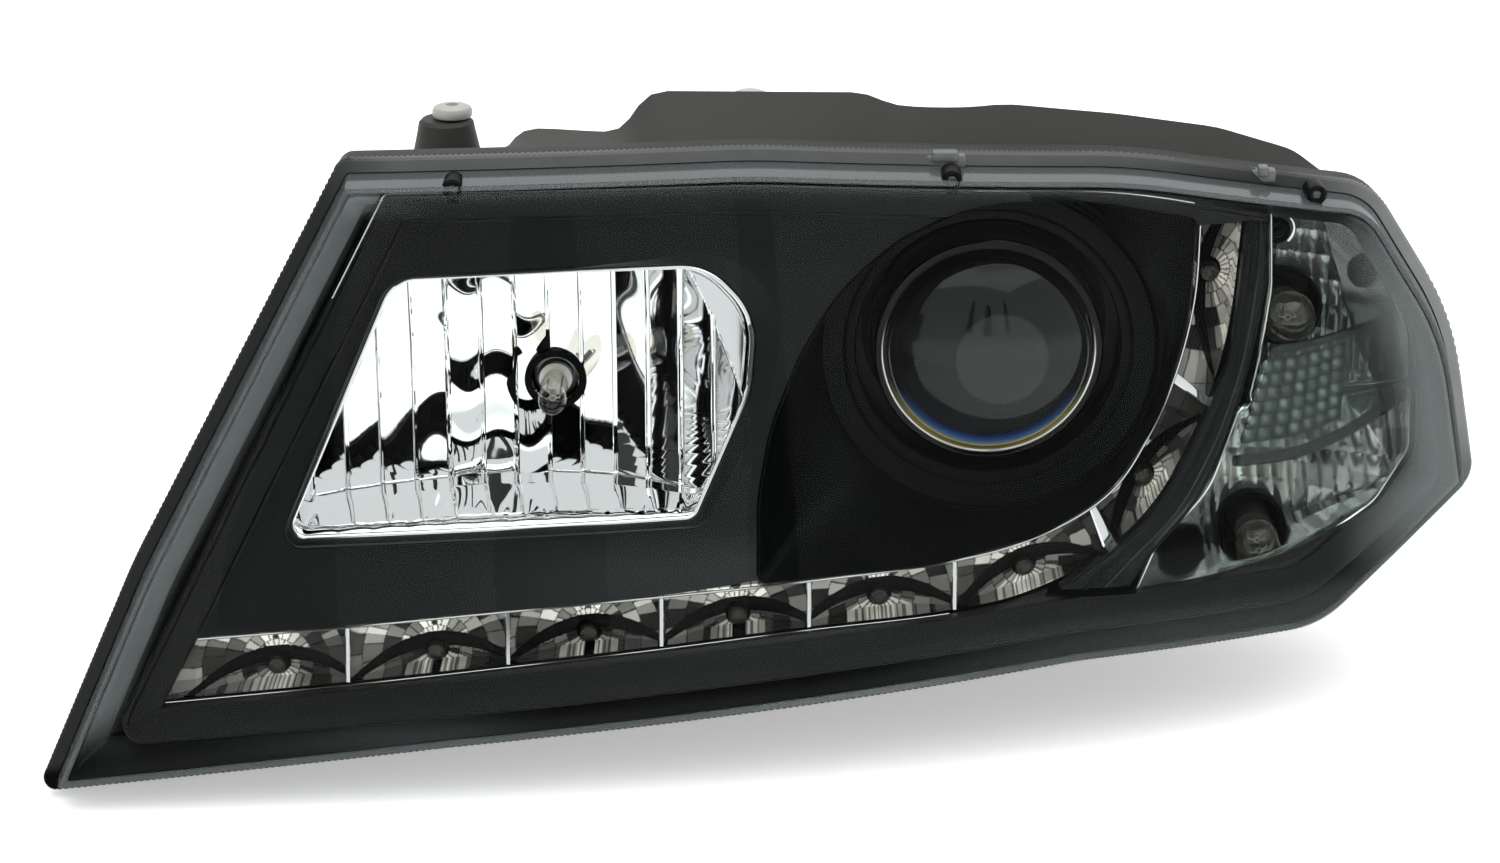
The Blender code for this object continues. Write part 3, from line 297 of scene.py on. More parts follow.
def tube(at, direction, r_in, r_out, length, n=None):
    return lathe([(r_in, 0), (r_out, 0), (r_out, length), (r_in, length)], at, direction, n)


def ball(at, r, n=14, rows=8, direction=(0, 0, 1)):
    return lathe([(0, -r)] + [(r * math.cos(a), r * math.sin(a)) for a in
                              [math.pi * (k / rows - 0.5) for k in range(1, rows)]] + [(0, r)], at, direction, n)


def block(lo, hi):
    x0, y0, z0 = lo
    x1, y1, z1 = hi
    v = [(x, y, z) for x in (x0, x1) for y in (y0, y1) for z in (z0, z1)]
    return solid(v, [(0, 1, 3, 2), (4, 6, 7, 5), (0, 4, 5, 1), (2, 3, 7, 6), (0, 2, 6, 4), (1, 5, 7, 3)])


def prism(points, y0, y1):
    """A straight bar along Y; y0 and y1 are depths or functions of x, z."""
    f0 = y0 if callable(y0) else (lambda x, z: y0)
    f1 = y1 if callable(y1) else (lambda x, z: y1)
    return loft([[(x, f0(x, z), z) for x, z in points], [(x, f1(x, z), z) for x, z in points]], "flat", "flat")


def slab(points, axis, lo, hi):
    """A plate from a flat outline: axis 'x' takes (y, z) points, 'z' takes (x, y) points."""
    put = (lambda p, t: (t, p[0], p[1])) if axis == "x" else (lambda p, t: (p[0], p[1], t))
    return loft([[put(p, lo) for p in points], [put(p, hi) for p in points]], "flat", "flat")


def wire(path, r, n=8):
    """A round bar along a chain of points, mitred at the bends."""
    pts = [Vector(p) for p in path]
    rings, ref = [], None
    for i, p in enumerate(pts):
        t = ((pts[i] - pts[i - 1]).normalized() if i else Vector()) + (
            (pts[i + 1] - pts[i]).normalized() if i < len(pts) - 1 else Vector())
        t.normalize()
        if ref is None:
            ref = basis(t)[0]
        ref = (ref - t * ref.dot(t)).normalized()
        other = t.cross(ref)
        rings.append([tuple(p + ref * r * math.cos(2 * math.pi * k / n) + other * r * math.sin(2 * math.pi * k / n))
                      for k in range(n)])
    return loft(rings, "flat", "flat")


def combine(obj, others, operation):
    others = others if isinstance(others, (list, tuple)) else [others]
    for other in others:
        m = obj.modifiers.new("b", "BOOLEAN")
        m.object, m.operation, m.solver = other, operation, "MANIFOLD"
        graph = bpy.context.evaluated_depsgraph_get()
        mesh = bpy.data.meshes.new_from_object(obj.evaluated_get(graph))
        obj.modifiers.clear()
        obj.data = mesh
        bpy.data.objects.remove(other, do_unlink=True)
    return obj


def join(obj, *others):
    return combine(obj, list(others), "UNION")


def cut(obj, *others):
    return combine(obj, list(others), "DIFFERENCE")


def keep_inside(obj, *others):
    return combine(obj, list(others), "INTERSECT")


def surfaced(points, d):
    return [(x, face_y(x, z) + d, z) for x, z in points]


def level(points, y):
    f = y if callable(y) else (lambda x, z: y)
    return [(x, f(x, z), z) for x, z in points]


# ------------------------------------------------------------------ scene helpers
PX, PY, PZ = PIVOT
AX, AY, AZ = AIM_BALL
LX, LY, LZ = LEVEL_BALL
Y, UP = (0, 1, 0), (0, 0, 1)
COVER_HIGH = (-62.0, -3.0)
KNOB_Y, SHAFT_Y = 96.0, 124.0
LOW, HIGH, TURN, PARK = LOW_AXIS, HIGH_AXIS, TURN_AXIS, PARK_AXIS
MM = Matrix.Scale(0.001, 4) @ Matrix.Translation(-REF)


def at(axis, y):
    return (axis[0], y, axis[1])


def finish_piece(obj, name, body, material, replaces=(), angle=30, flat=False, extra=()):
    """Moves a work object from design millimetres into the frame and ties it to its body."""
    obj.data.transform(MM)
    obj.name = obj.data.name = name
    obj.data.materials.clear()
    obj.data.materials.append(material)
    for m in extra:
        obj.data.materials.append(m)
    for p in obj.data.polygons:
        p.use_smooth = not flat
    if not flat:
        obj.data.set_sharp_from_angle(angle=math.radians(angle))
    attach(obj, body)
    if replaces:
        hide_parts(*replaces)
    return obj


def sheet(rows, close_u=False):
    """An open skin from a list of rows of points."""
    n = len(rows[0])
    verts = [p for row in rows for p in row]
    faces = []
    for r in range(len(rows) - 1):
        for i in range(n if close_u else n - 1):
            j = (i + 1) % n
            faces.append((r * n + i, r * n + j, (r + 1) * n + j, (r + 1) * n + i))
    mesh = bpy.data.meshes.new("work")
    mesh.from_pydata([tuple(v) for v in verts], [], faces)
    obj = bpy.data.objects.new("work", mesh)
    bpy.context.scene.collection.objects.link(obj)
    return obj


def thicken(obj, t, offset=1.0):
    m = obj.modifiers.new("skin", "SOLIDIFY")
    m.thickness, m.offset = t * 0.001, offset
    return obj


def spans(ctrl, grow, x):
    """Lowest and highest z of a closed outline at x."""
    key = (id(ctrl), grow)
    if key not in _chains:
        _chains[key] = trace(offset(ctrl, grow), ctrl, 3.0, 10)
    pts, hits = _chains[key], []
    for i, p in enumerate(pts):
        q = pts[(i + 1) % len(pts)]
        if (p[0] - x) * (q[0] - x) <= 0 and p[0] != q[0]:
            hits.append(p[1] + (q[1] - p[1]) * (x - p[0]) / (q[0] - p[0]))
    return (min(hits), max(hits)) if hits else (0, 0)


_chains = {}


def columns(ctrl, grow, nx, nz, depth):
    """A height field over an outline: straight columns in z, nx of them, following depth(x, z)."""
    pts = trace(offset(ctrl, grow), ctrl, 3.0, 10)
    x0, x1 = min(p[0] for p in pts) + 0.02, max(p[0] for p in pts) - 0.02
    rows = []
    for i in range(nx + 1):
        x = x0 + (x1 - x0) * i / nx
        lo, hi = spans(ctrl, grow, x)
        rows.append([(x, depth(x, lo + (hi - lo) * k / nz), lo + (hi - lo) * k / nz) for k in range(nz + 1)])
    return sheet(rows)


def soft_block(lo, hi, r=1.2):
    """A block with rounded edges."""
    obj = block(lo, hi)
    m = obj.modifiers.new("b", "BEVEL")
    m.width, m.segments = r, 3
    graph = bpy.context.evaluated_depsgraph_get()
    mesh = bpy.data.meshes.new_from_object(obj.evaluated_get(graph))
    obj.modifiers.clear()
    obj.data = mesh
    return obj


# ------------------------------------------------------------------ materials
def new_material(name):
    m = bpy.data.materials.new(name)
    m.use_nodes = True
    return m, m.node_tree.nodes, m.node_tree.links


def grain(nodes, links, scale, strength, distance, detail=3, coords="Object", stretch=None):
    """A bump normal from noise, in object coordinates (metres)."""
    tex = nodes.new("ShaderNodeTexNoise")
    tex.inputs["Scale"].default_value = scale
    tex.inputs["Detail"].default_value = detail
    where = nodes.new("ShaderNodeTexCoord")
    if stretch:
        mapping = nodes.new("ShaderNodeMapping")
        mapping.inputs["Scale"].default_value = stretch
        links.new(where.outputs[coords], mapping.inputs["Vector"])
        links.new(mapping.outputs["Vector"], tex.inputs["Vector"])
    else:
        links.new(where.outputs[coords], tex.inputs["Vector"])
    bump = nodes.new("ShaderNodeBump")
    bump.inputs["Strength"].default_value = strength
    bump.inputs["Distance"].default_value = distance
    links.new(tex.outputs["Fac"], bump.inputs["Height"])
    return tex, bump


def plastic(name, colour, rough, rough_var=0.06, bump_scale=900, bump=0.25, tint=0.25, coat=0.0, specular=0.5, dust=0.0):
    """Moulded plastic: fine grain, uneven gloss, faint colour drift."""
    m, nodes, links = new_material(name)
    bsdf = nodes["Principled BSDF"]
    bsdf.inputs["Specular IOR Level"].default_value = specular
    bsdf.inputs["Coat Weight"].default_value = coat
    bsdf.inputs["Coat Roughness"].default_value = 0.06
    tex, b = grain(nodes, links, bump_scale, bump, 0.0002)
    links.new(b.outputs["Normal"], bsdf.inputs["Normal"])
    broad = nodes.new("ShaderNodeTexNoise")
    broad.inputs["Scale"].default_value = 28
    broad.inputs["Detail"].default_value = 5
    where = nodes.new("ShaderNodeTexCoord")
    links.new(where.outputs["Object"], broad.inputs["Vector"])
    ramp = nodes.new("ShaderNodeMapRange")
    ramp.inputs["From Min"].default_value, ramp.inputs["From Max"].default_value = 0.3, 0.7
    ramp.inputs["To Min"].default_value, ramp.inputs["To Max"].default_value = rough - rough_var, rough + rough_var
    links.new(broad.outputs["Fac"], ramp.inputs["Value"])
    links.new(ramp.outputs["Result"], bsdf.inputs["Roughness"])
    mix = nodes.new("ShaderNodeMix")
    mix.data_type = "RGBA"
    mix.inputs["A"].default_value = (*[c * (1 - tint) for c in colour], 1)
    mix.inputs["B"].default_value = (*[min(1, c * (1 + tint) + dust) for c in colour], 1)
    links.new(broad.outputs["Fac"], mix.inputs["Factor"])
    links.new(mix.outputs["Result"], bsdf.inputs["Base Color"])
    return m


def mirror(name, colour, rough, ripple=0.0, scale=60, edge=None):
    """Vacuum-metallised surface with a slight moulding ripple."""
    m, nodes, links = new_material(name)
    bsdf = nodes["Principled BSDF"]
    bsdf.inputs["Metallic"].default_value = 1
    bsdf.inputs["Base Color"].default_value = (*colour, 1)
    tex = nodes.new("ShaderNodeTexNoise")
    tex.inputs["Scale"].default_value = 35
    tex.inputs["Detail"].default_value = 4
    where = nodes.new("ShaderNodeTexCoord")
    links.new(where.outputs["Object"], tex.inputs["Vector"])
    ramp = nodes.new("ShaderNodeMapRange")
    ramp.inputs["To Min"].default_value, ramp.inputs["To Max"].default_value = rough * 0.6, rough * 1.6
    links.new(tex.outputs["Fac"], ramp.inputs["Value"])
    links.new(ramp.outputs["Result"], bsdf.inputs["Roughness"])
    if ripple:
        _, b = grain(nodes, links, scale, ripple, 0.001, 1)
        links.new(b.outputs["Normal"], bsdf.inputs["Normal"])
    return m


def clear(name, tint, rough=0.02, ior=1.5, smoke=0.0, smoke_colour=(0.1, 0.1, 0.1), bump=0.0, bump_scale=100, gloss=1.0):
    """Thin clear plastic: lets the view straight through, with a tint and a mirror sheen that grows at grazing angles."""
    m, nodes, links = new_material(name)
    nodes.remove(nodes["Principled BSDF"])
    out = nodes["Material Output"]
    through = nodes.new("ShaderNodeBsdfTransparent")
    through.inputs["Color"].default_value = (*tint, 1)
    sheen = nodes.new("ShaderNodeBsdfGlossy")
    sheen.inputs["Roughness"].default_value = rough
    sheen.inputs["Color"].default_value = (gloss, gloss, gloss, 1)
    fres = nodes.new("ShaderNodeFresnel")
    fres.inputs["IOR"].default_value = ior
    body = through
    if smoke:
        haze = nodes.new("ShaderNodeBsdfDiffuse")
        haze.inputs["Color"].default_value = (*smoke_colour, 1)
        mix = nodes.new("ShaderNodeMixShader")
        mix.inputs["Fac"].default_value = smoke
        links.new(through.outputs[0], mix.inputs[1])
        links.new(haze.outputs[0], mix.inputs[2])
        body = mix
    side = nodes.new("ShaderNodeNewGeometry")
    front = nodes.new("ShaderNodeMath")
    front.operation = "SUBTRACT"
    front.inputs[0].default_value = 1.0
    links.new(side.outputs["Backfacing"], front.inputs[1])
    share = nodes.new("ShaderNodeMath")
    share.operation = "MULTIPLY"
    links.new(fres.outputs[0], share.inputs[0])
    links.new(front.outputs[0], share.inputs[1])
    top = nodes.new("ShaderNodeMixShader")
    links.new(share.outputs[0], top.inputs["Fac"])
    links.new(body.outputs[0], top.inputs[1])
    links.new(sheen.outputs[0], top.inputs[2])
    if bump:
        _, b = grain(nodes, links, bump_scale, bump, 0.001, 2)
        links.new(b.outputs["Normal"], sheen.inputs["Normal"])
        links.new(b.outputs["Normal"], fres.inputs["Normal"])
    links.new(top.outputs[0], out.inputs["Surface"])
    return m


M_LENS = clear("lens_polycarbonate", (0.93, 0.945, 0.945), 0.015, 1.40, gloss=0.16)
M_WALL = clear("lens_side_wall", (0.62, 0.66, 0.67), 0.12, 1.5, 0.32, (0.16, 0.18, 0.185))
M_BEAD = plastic("sealing_bead", (0.16, 0.17, 0.172), 0.5, bump_scale=300, bump=0.4)
M_GLOSS = plastic("gloss_black", (0.0028, 0.003, 0.0031), 0.33, 0.05, 500, 0.02, specular=0.06)
M_SHADE = plastic("shadow_black", (0.002, 0.002, 0.002), 0.6, specular=0.1)
M_HOUSING = plastic("housing_polypropylene", (0.0265, 0.0275, 0.0245), 0.55, 0.08, 520, 0.55, 0.18, dust=0.004, specular=0.2)
M_CHROME = mirror("chrome_bright", (0.93, 0.93, 0.93), 0.03, 0.04, 45)
M_TRIM = mirror("chrome_trim", (0.95, 0.95, 0.95), 0.06)
M_WARM = mirror("mirror_warm_grey", (0.72, 0.69, 0.62), 0.07, 0.08, 160)
M_CORNER = mirror("corner_mirror", (0.80, 0.84, 0.82), 0.10, 0.10, 120)
M_STEEL = mirror("zinc_steel", (0.48, 0.48, 0.47), 0.32)
M_ALLOY = plastic("cast_alloy", (0.35, 0.35, 0.35), 0.5)
M_RUBBER = plastic("rubber_black", (0.018, 0.018, 0.018), 0.72, 0.05, 700, 0.4)
M_KNOB = plastic("grey_nylon", (0.34, 0.35, 0.32), 0.45, bump_scale=600)
M_NATURAL = plastic("natural_nylon", (0.62, 0.6, 0.54), 0.45)
M_BLACK = plastic("black_nylon", (0.02, 0.02, 0.021), 0.45)
M_BOARD = plastic("board_mask", (0.015, 0.02, 0.018), 0.4)
M_ARC = clear("smoked_bar", (0.52, 0.57, 0.56), 0.05, 1.5, 0.3, (0.022, 0.027, 0.026), gloss=0.3)
M_ARC_EDGE = clear("smoked_bar_edge", (0.26, 0.30, 0.30), 0.05, 1.5, 0.5, (0.010, 0.012, 0.012), gloss=0.3)
M_WING = clear("smoked_wing", (0.80, 0.86, 0.84), 0.06, 1.5, 0.10, (0.15, 0.17, 0.16), 0.12, 60, gloss=0.45)
M_BAR_HIGHLIGHT = clear("bar_highlight", (0.7, 0.75, 0.75), 0.1, 1.5, 0.25, (0.09, 0.10, 0.10), gloss=0.5)
M_STEEL_DARK = mirror("black_zinc", (0.09, 0.09, 0.09), 0.35)
M_BULB = clear("bulb_glass", (0.90, 0.88, 0.82), 0.01, 1.5)
M_GLOBE = clear("bulb_globe", (0.86, 0.82, 0.74), 0.02, 1.6, 0.13, (0.16, 0.145, 0.11))


def painted(name, metallic, rough, specular=0.5, bump=0.0, bump_scale=600, coat=0.0):
    """A finish whose tone is carried by the mesh, with a fine uneven gloss on top."""
    m, nodes, links = new_material(name)
    b = nodes["Principled BSDF"]
    b.inputs["Metallic"].default_value = metallic
    b.inputs["Specular IOR Level"].default_value = specular
    b.inputs["Coat Weight"].default_value = coat
    tone = nodes.new("ShaderNodeAttribute")
    tone.attribute_name = "tone"
    where = nodes.new("ShaderNodeTexCoord")
    tex = nodes.new("ShaderNodeTexNoise")
    tex.inputs["Scale"].default_value, tex.inputs["Detail"].default_value = 90, 4
    links.new(where.outputs["Object"], tex.inputs["Vector"])
    gain = nodes.new("ShaderNodeMapRange")
    gain.inputs["To Min"].default_value, gain.inputs["To Max"].default_value = 0.82, 1.18
    links.new(tex.outputs["Fac"], gain.inputs["Value"])
    mix = nodes.new("ShaderNodeVectorMath")
    mix.operation = "SCALE"
    links.new(tone.outputs["Color"], mix.inputs[0])
    links.new(gain.outputs["Result"], mix.inputs["Scale"])
    links.new(mix.outputs[0], b.inputs["Base Color"])
    ramp = nodes.new("ShaderNodeMapRange")
    ramp.inputs["To Min"].default_value, ramp.inputs["To Max"].default_value = rough * 0.7, rough * 1.4
    links.new(tex.outputs["Fac"], ramp.inputs["Value"])
    links.new(ramp.outputs["Result"], b.inputs["Roughness"])
    if bump:
        _, n = grain(nodes, links, bump_scale, bump, 0.0002)
        links.new(n.outputs["Normal"], b.inputs["Normal"])
    return m


def paint(obj, tone, per_face=True):
    """Stores a tone (r, g, b) on every face or vertex, from a rule in design millimetres."""
    inv = MM.inverted()
    mesh = obj.data
    if per_face:
        attr = mesh.color_attributes.new("tone", "FLOAT_COLOR", "CORNER")
        for poly in mesh.polygons:
            p = inv @ poly.center
            c = tone(p.x, p.y, p.z)
            for k in poly.loop_indices:
                attr.data[k].color = (*c, 1)
    else:
        attr = mesh.color_attributes.new("tone", "FLOAT_COLOR", "POINT")
        for i, v in enumerate(mesh.vertices):
            p = inv @ v.co
            attr.data[i].color = (*tone(p.x, p.y, p.z), 1)
    return obj


def hashed(*k):
    """A repeatable number from 0 to 1 for a cell of a pattern."""
    v = 0
    for q in k:
        v = (v * 7919 + int(q) * 104729 + 12345) % 1000003
    v = (v * v * 31 + v * 17 + 7) % 1000003
    return v / 1000003.0


def ramp(t, a, b):
    return smooth((t - a) / (b - a))


M_FLANGE = painted("lens_flange", 0.0, 0.4, 0.2)
flange_shader = M_FLANGE.node_tree.nodes["Principled BSDF"]
flange_tone_node = next(n for n in M_FLANGE.node_tree.nodes if n.type == "ATTRIBUTE")
# the painted sheen in the flange tone also raises its specular level
sheen_gain, least = M_FLANGE.node_tree.nodes.new("ShaderNodeMath"), M_FLANGE.node_tree.nodes.new("ShaderNodeMath")
sheen_gain.operation, least.operation = "MULTIPLY", "MINIMUM"
sheen_gain.inputs[1].default_value, least.inputs[1].default_value = 12, 0.2
M_FLANGE.node_tree.links.new(flange_tone_node.outputs["Fac"], sheen_gain.inputs[0])
M_FLANGE.node_tree.links.new(sheen_gain.outputs[0], least.inputs[0])
M_FLANGE.node_tree.links.new(least.outputs[0], flange_shader.inputs["Specular IOR Level"])
M_BAND = painted("side_band", 0.0, 0.35, 0.3)
M_FACET = painted("facet_mirror", 0.45, 0.14, 0.12)
# painted light: the strip's mirror facets also glow with their own tone, to brighten the shaded cells
facet_glow = M_FACET.node_tree.nodes["Principled BSDF"]
M_FACET.node_tree.links.new(facet_glow.inputs["Base Color"].links[0].from_socket, facet_glow.inputs["Emission Color"])
facet_glow.inputs["Emission Strength"].default_value = 0.22
M_PAD = plastic("lens_clip", (0.10, 0.11, 0.107), 0.35, bump_scale=500, bump=0.1)


def satin_material():
    """Satin black with painted light in its colour: a little paler on the sill under the main beam, a painted sheen
    where the surround turns towards the wing, and slightly lighter from left to right.
    """
    m, nodes, links = new_material("bezel_satin_black")
    b = nodes["Principled BSDF"]
    b.inputs["Specular IOR Level"].default_value = 0.2
    where = nodes.new("ShaderNodeTexCoord")
    sep = nodes.new("ShaderNodeSeparateXYZ")
    links.new(where.outputs["Object"], sep.inputs[0])

    def fade(axis, a, b_):
        r = nodes.new("ShaderNodeMapRange")
        r.interpolation_type = "SMOOTHSTEP"
        origin = REF.x if axis == "X" else REF.z
        swap = a > b_
        lo, hi = (b_, a) if swap else (a, b_)
        r.inputs["From Min"].default_value, r.inputs["From Max"].default_value = (lo - origin) * 0.001, (hi - origin) * 0.001
        r.inputs["To Min"].default_value, r.inputs["To Max"].default_value = (1, 0) if swap else (0, 1)
        links.new(sep.outputs[axis], r.inputs["Value"])
        return r.outputs["Result"]

    def op(kind, p, q):
        n = nodes.new("ShaderNodeMath")
        n.operation = kind
        for k, v in enumerate((p, q)):
            if isinstance(v, (int, float)):
                n.inputs[k].default_value = v
            else:
                links.new(v, n.inputs[k])
        return n.outputs[0]

    # painted light: the lit sill, the painted sheen at the right-hand corner, and a lightening from left to right
    sill = op("MULTIPLY", op("MULTIPLY", fade("X", -150, 0), fade("X", 60, 0)), op("MULTIPLY", fade("Z", -32, -48), fade("Z", -78, -58)))
    corner = op("MULTIPLY", fade("X", 196, 236), op("ADD", 0.5, op("MULTIPLY", 0.5, fade("Z", 45, -10))))
    v = op("ADD", op("ADD", 0.0022, op("MULTIPLY", 0.0036, fade("X", -120, 10))), op("ADD", op("MULTIPLY", 0.014, sill), op("MULTIPLY", 0.10, corner)))
    tex = nodes.new("ShaderNodeTexNoise")
    tex.inputs["Scale"].default_value, tex.inputs["Detail"].default_value = 60, 4
    links.new(where.outputs["Object"], tex.inputs["Vector"])
    gain = nodes.new("ShaderNodeMapRange")
    gain.inputs["To Min"].default_value, gain.inputs["To Max"].default_value = 0.85, 1.15
    links.new(tex.outputs["Fac"], gain.inputs["Value"])
    tone = op("MULTIPLY", v, gain.outputs["Result"])
    mix = nodes.new("ShaderNodeCombineColor")
    links.new(op("MULTIPLY", tone, 0.95), mix.inputs[0])
    links.new(op("MULTIPLY", tone, 1.02), mix.inputs[1])
    links.new(tone, mix.inputs[2])
    links.new(mix.outputs[0], b.inputs["Base Color"])
    r = nodes.new("ShaderNodeMapRange")
    r.inputs["To Min"].default_value, r.inputs["To Max"].default_value = 0.3, 0.46
    links.new(tex.outputs["Fac"], r.inputs["Value"])
    links.new(r.outputs["Result"], b.inputs["Roughness"])
    _, n = grain(nodes, links, 1400, 0.15, 0.0002)
    links.new(n.outputs["Normal"], b.inputs["Normal"])
    return m


M_SATIN = satin_material()


def glass(name, colour, ior, rough=0.0):
    m, nodes, links = new_material(name)
    b = nodes["Principled BSDF"]
    b.inputs["Base Color"].default_value = (*colour, 1)
    b.inputs["Transmission Weight"].default_value = 1
    b.inputs["IOR"].default_value = ior
    b.inputs["Roughness"].default_value = rough
    return m


def dome_material():
    """Projector lens: deep, nearly black glass whose colour carries a painted sheen, brighter low on the dome, plus a
    slightly lighter disc and a painted glow of colours at its foot.
    """
    m, nodes, links = new_material("projector_glass")
    b = nodes["Principled BSDF"]
    b.inputs["Roughness"].default_value = 0.05
    b.inputs["IOR"].default_value = 1.5
    b.inputs["Specular IOR Level"].default_value = 0.3
    where = nodes.new("ShaderNodeTexCoord")
    sep = nodes.new("ShaderNodeSeparateXYZ")
    links.new(where.outputs["Object"], sep.inputs[0])
    ramp = nodes.new("ShaderNodeMapRange")
    zc = (LOW[1] - REF.z) * 0.001
    ramp.inputs["From Min"].default_value, ramp.inputs["From Max"].default_value = zc - 0.034, zc + 0.03
    links.new(sep.outputs["Z"], ramp.inputs["Value"])
    col = nodes.new("ShaderNodeValToRGB")
    e = col.color_ramp.elements
    e[0].position, e[0].color = 0.0, (0.010, 0.010, 0.011, 1)
    e[1].position, e[1].color = 1.0, (0.002, 0.002, 0.0025, 1)
    for pos, v in ((0.18, 0.016), (0.42, 0.012), (0.52, 0.008), (0.62, 0.012), (0.8, 0.005)):
        k = col.color_ramp.elements.new(pos)
        k.color = (v, v, v * 1.05, 1)
    links.new(ramp.outputs["Result"], col.inputs["Fac"])
    # painted light: a thin crescent at the foot of the dome glows in the colours that white light splits into
    shifted = nodes.new("ShaderNodeVectorMath")
    shifted.operation = "SUBTRACT"
    shifted.inputs[1].default_value = ((LOW[0] - REF.x) * 0.001, 0, (LOW[1] - REF.z) * 0.001 + 0.0034)
    links.new(where.outputs["Object"], shifted.inputs[0])
    parts = nodes.new("ShaderNodeSeparateXYZ")
    links.new(shifted.outputs[0], parts.inputs[0])
    flat = nodes.new("ShaderNodeCombineXYZ")
    links.new(parts.outputs["X"], flat.inputs["X"])
    links.new(parts.outputs["Z"], flat.inputs["Z"])
    length = nodes.new("ShaderNodeVectorMath")
    length.operation = "LENGTH"
    links.new(flat.outputs[0], length.inputs[0])
    share = nodes.new("ShaderNodeMapRange")
    share.inputs["From Min"].default_value, share.inputs["From Max"].default_value = 0.0296, 0.0377
    links.new(length.outputs["Value"], share.inputs["Value"])
    hue = nodes.new("ShaderNodeValToRGB")
    f = hue.color_ramp.elements
    f[0].position, f[0].color = 0.0, (0, 0, 0, 1)
    f[1].position, f[1].color = 1.0, (0.05, 0.04, 0.008, 1)
    for pos, c in ((0.22, (0.003, 0.010, 0.04)), (0.45, (0.012, 0.045, 0.15)), (0.62, (0.06, 0.10, 0.13)), (0.76, (0.11, 0.11, 0.05)), (0.9, (0.13, 0.10, 0.02))):
        k = f.new(pos)
        k.color = (*c, 1)
    links.new(share.outputs["Result"], hue.inputs["Fac"])
    low = nodes.new("ShaderNodeMapRange")
    low.inputs["From Min"].default_value, low.inputs["From Max"].default_value = -0.015, -0.030
    links.new(parts.outputs["Z"], low.inputs["Value"])
    links.new(hue.outputs["Color"], b.inputs["Emission Color"])
    glow = nodes.new("ShaderNodeMath")
    glow.operation = "MULTIPLY"
    glow.inputs[1].default_value = 1.15
    links.new(low.outputs["Result"], glow.inputs[0])
    links.new(glow.outputs[0], b.inputs["Emission Strength"])
    inner = nodes.new("ShaderNodeVectorMath")
    inner.operation = "SUBTRACT"
    inner.inputs[1].default_value = ((LOW[0] - REF.x) * 0.001 + 0.0035, 0, (LOW[1] - REF.z) * 0.001 + 0.0015)
    links.new(where.outputs["Object"], inner.inputs[0])
    squash = nodes.new("ShaderNodeVectorMath")
    squash.operation = "MULTIPLY"
    squash.inputs[1].default_value = (1, 0, 1)
    links.new(inner.outputs[0], squash.inputs[0])
    reach = nodes.new("ShaderNodeVectorMath")
    reach.operation = "LENGTH"
    links.new(squash.outputs[0], reach.inputs[0])
    disc = nodes.new("ShaderNodeMapRange")
    disc.inputs["From Min"].default_value, disc.inputs["From Max"].default_value = 0.0158, 0.0150
    disc.inputs["To Min"].default_value, disc.inputs["To Max"].default_value = 0, 0.020
    links.new(reach.outputs["Value"], disc.inputs["Value"])
    added = nodes.new("ShaderNodeVectorMath")
    added.operation = "ADD"
    links.new(col.outputs["Color"], added.inputs[0])
    links.new(disc.outputs["Result"], added.inputs[1])
    links.new(added.outputs[0], b.inputs["Base Color"])
    return m


# ------------------------------------------------------------------ front lens
def lens_loop(d, step=None, arc=None):
    return trace(offset(FLANGE, d), FLANGE, step, arc)


outer_base, inner_base = lens_loop(-7.4), lens_loop(-9.4)
SCALES = (0.12, 0.24, 0.36, 0.48, 0.6, 0.72, 0.82, 0.9, 0.96)
rings = [surfaced(scaled(outer_base, CENTRE, s), 0) for s in SCALES]
rings += [surfaced(outer_base, 0.35), surfaced(lens_loop(-6.9), 0.9), surfaced(lens_loop(-6.4), 2.0), surfaced(lens_loop(-6.1), 3.6),
          surfaced(lens_loop(-6.4), 4.2), surfaced(lens_loop(-7.8), 4.4), surfaced(inner_base, LENS_WALL + 0.6)]
rings += [surfaced(scaled(inner_base, CENTRE, s), LENS_WALL) for s in reversed(SCALES)]
cover = loft(rings, (CENTRE[0], face_y(*CENTRE), CENTRE[1]), (CENTRE[0], face_y(*CENTRE) + LENS_WALL, CENTRE[1]))
finish_piece(cover, "lens_cover", "root", M_LENS, ["front_lens"], 40)
wall = [surfaced(lens_loop(d), y) for d, y in ((-6.0, 3.7), (-5.2, 9), (-4.6, 15.6), (-4.4, 19.6), (-4.4, 25.2), (-6.4, 25.2), (-6.9, 17),
                                               (-7.3, 9), (-7.7, 4.5))]
finish_piece(loft(wall, ring_closed=True), "lens_wall", "root", M_WALL)

# serrated outer flange of the lens
fine = lens_loop(0, 1.1, 24)
fine_in = lens_loop(-4.2, 1.1, 24)


def serrate(points, depth):
    out, n = [], len(points)
    for i, (x, z) in enumerate(points):
        a, b = points[i - 1], points[(i + 1) % n]
        t = Vector((b[0] - a[0], b[1] - a[1])).normalized()
        k = depth if i % 2 else 0.0
        out.append((x - t.y * k, z + t.x * k))
    return out


area = sum(p[0] * q[1] - q[0] * p[1] for p, q in zip(fine, fine[1:] + fine[:1]))
SIDE = 1 if area > 0 else -1
rough_edge = serrate(fine, 0.45 * SIDE)
flange = [surfaced(fine_in, 16.2), surfaced(lens_loop(-0.9, 1.1, 24), 16.4), surfaced(rough_edge, 17.2), surfaced(rough_edge, 19.4),
          surfaced(fine_in, 19.6)]
flange_ring = finish_piece(loft(flange, ring_closed=True), "lens_flange_ring", "root", M_FLANGE, angle=25)


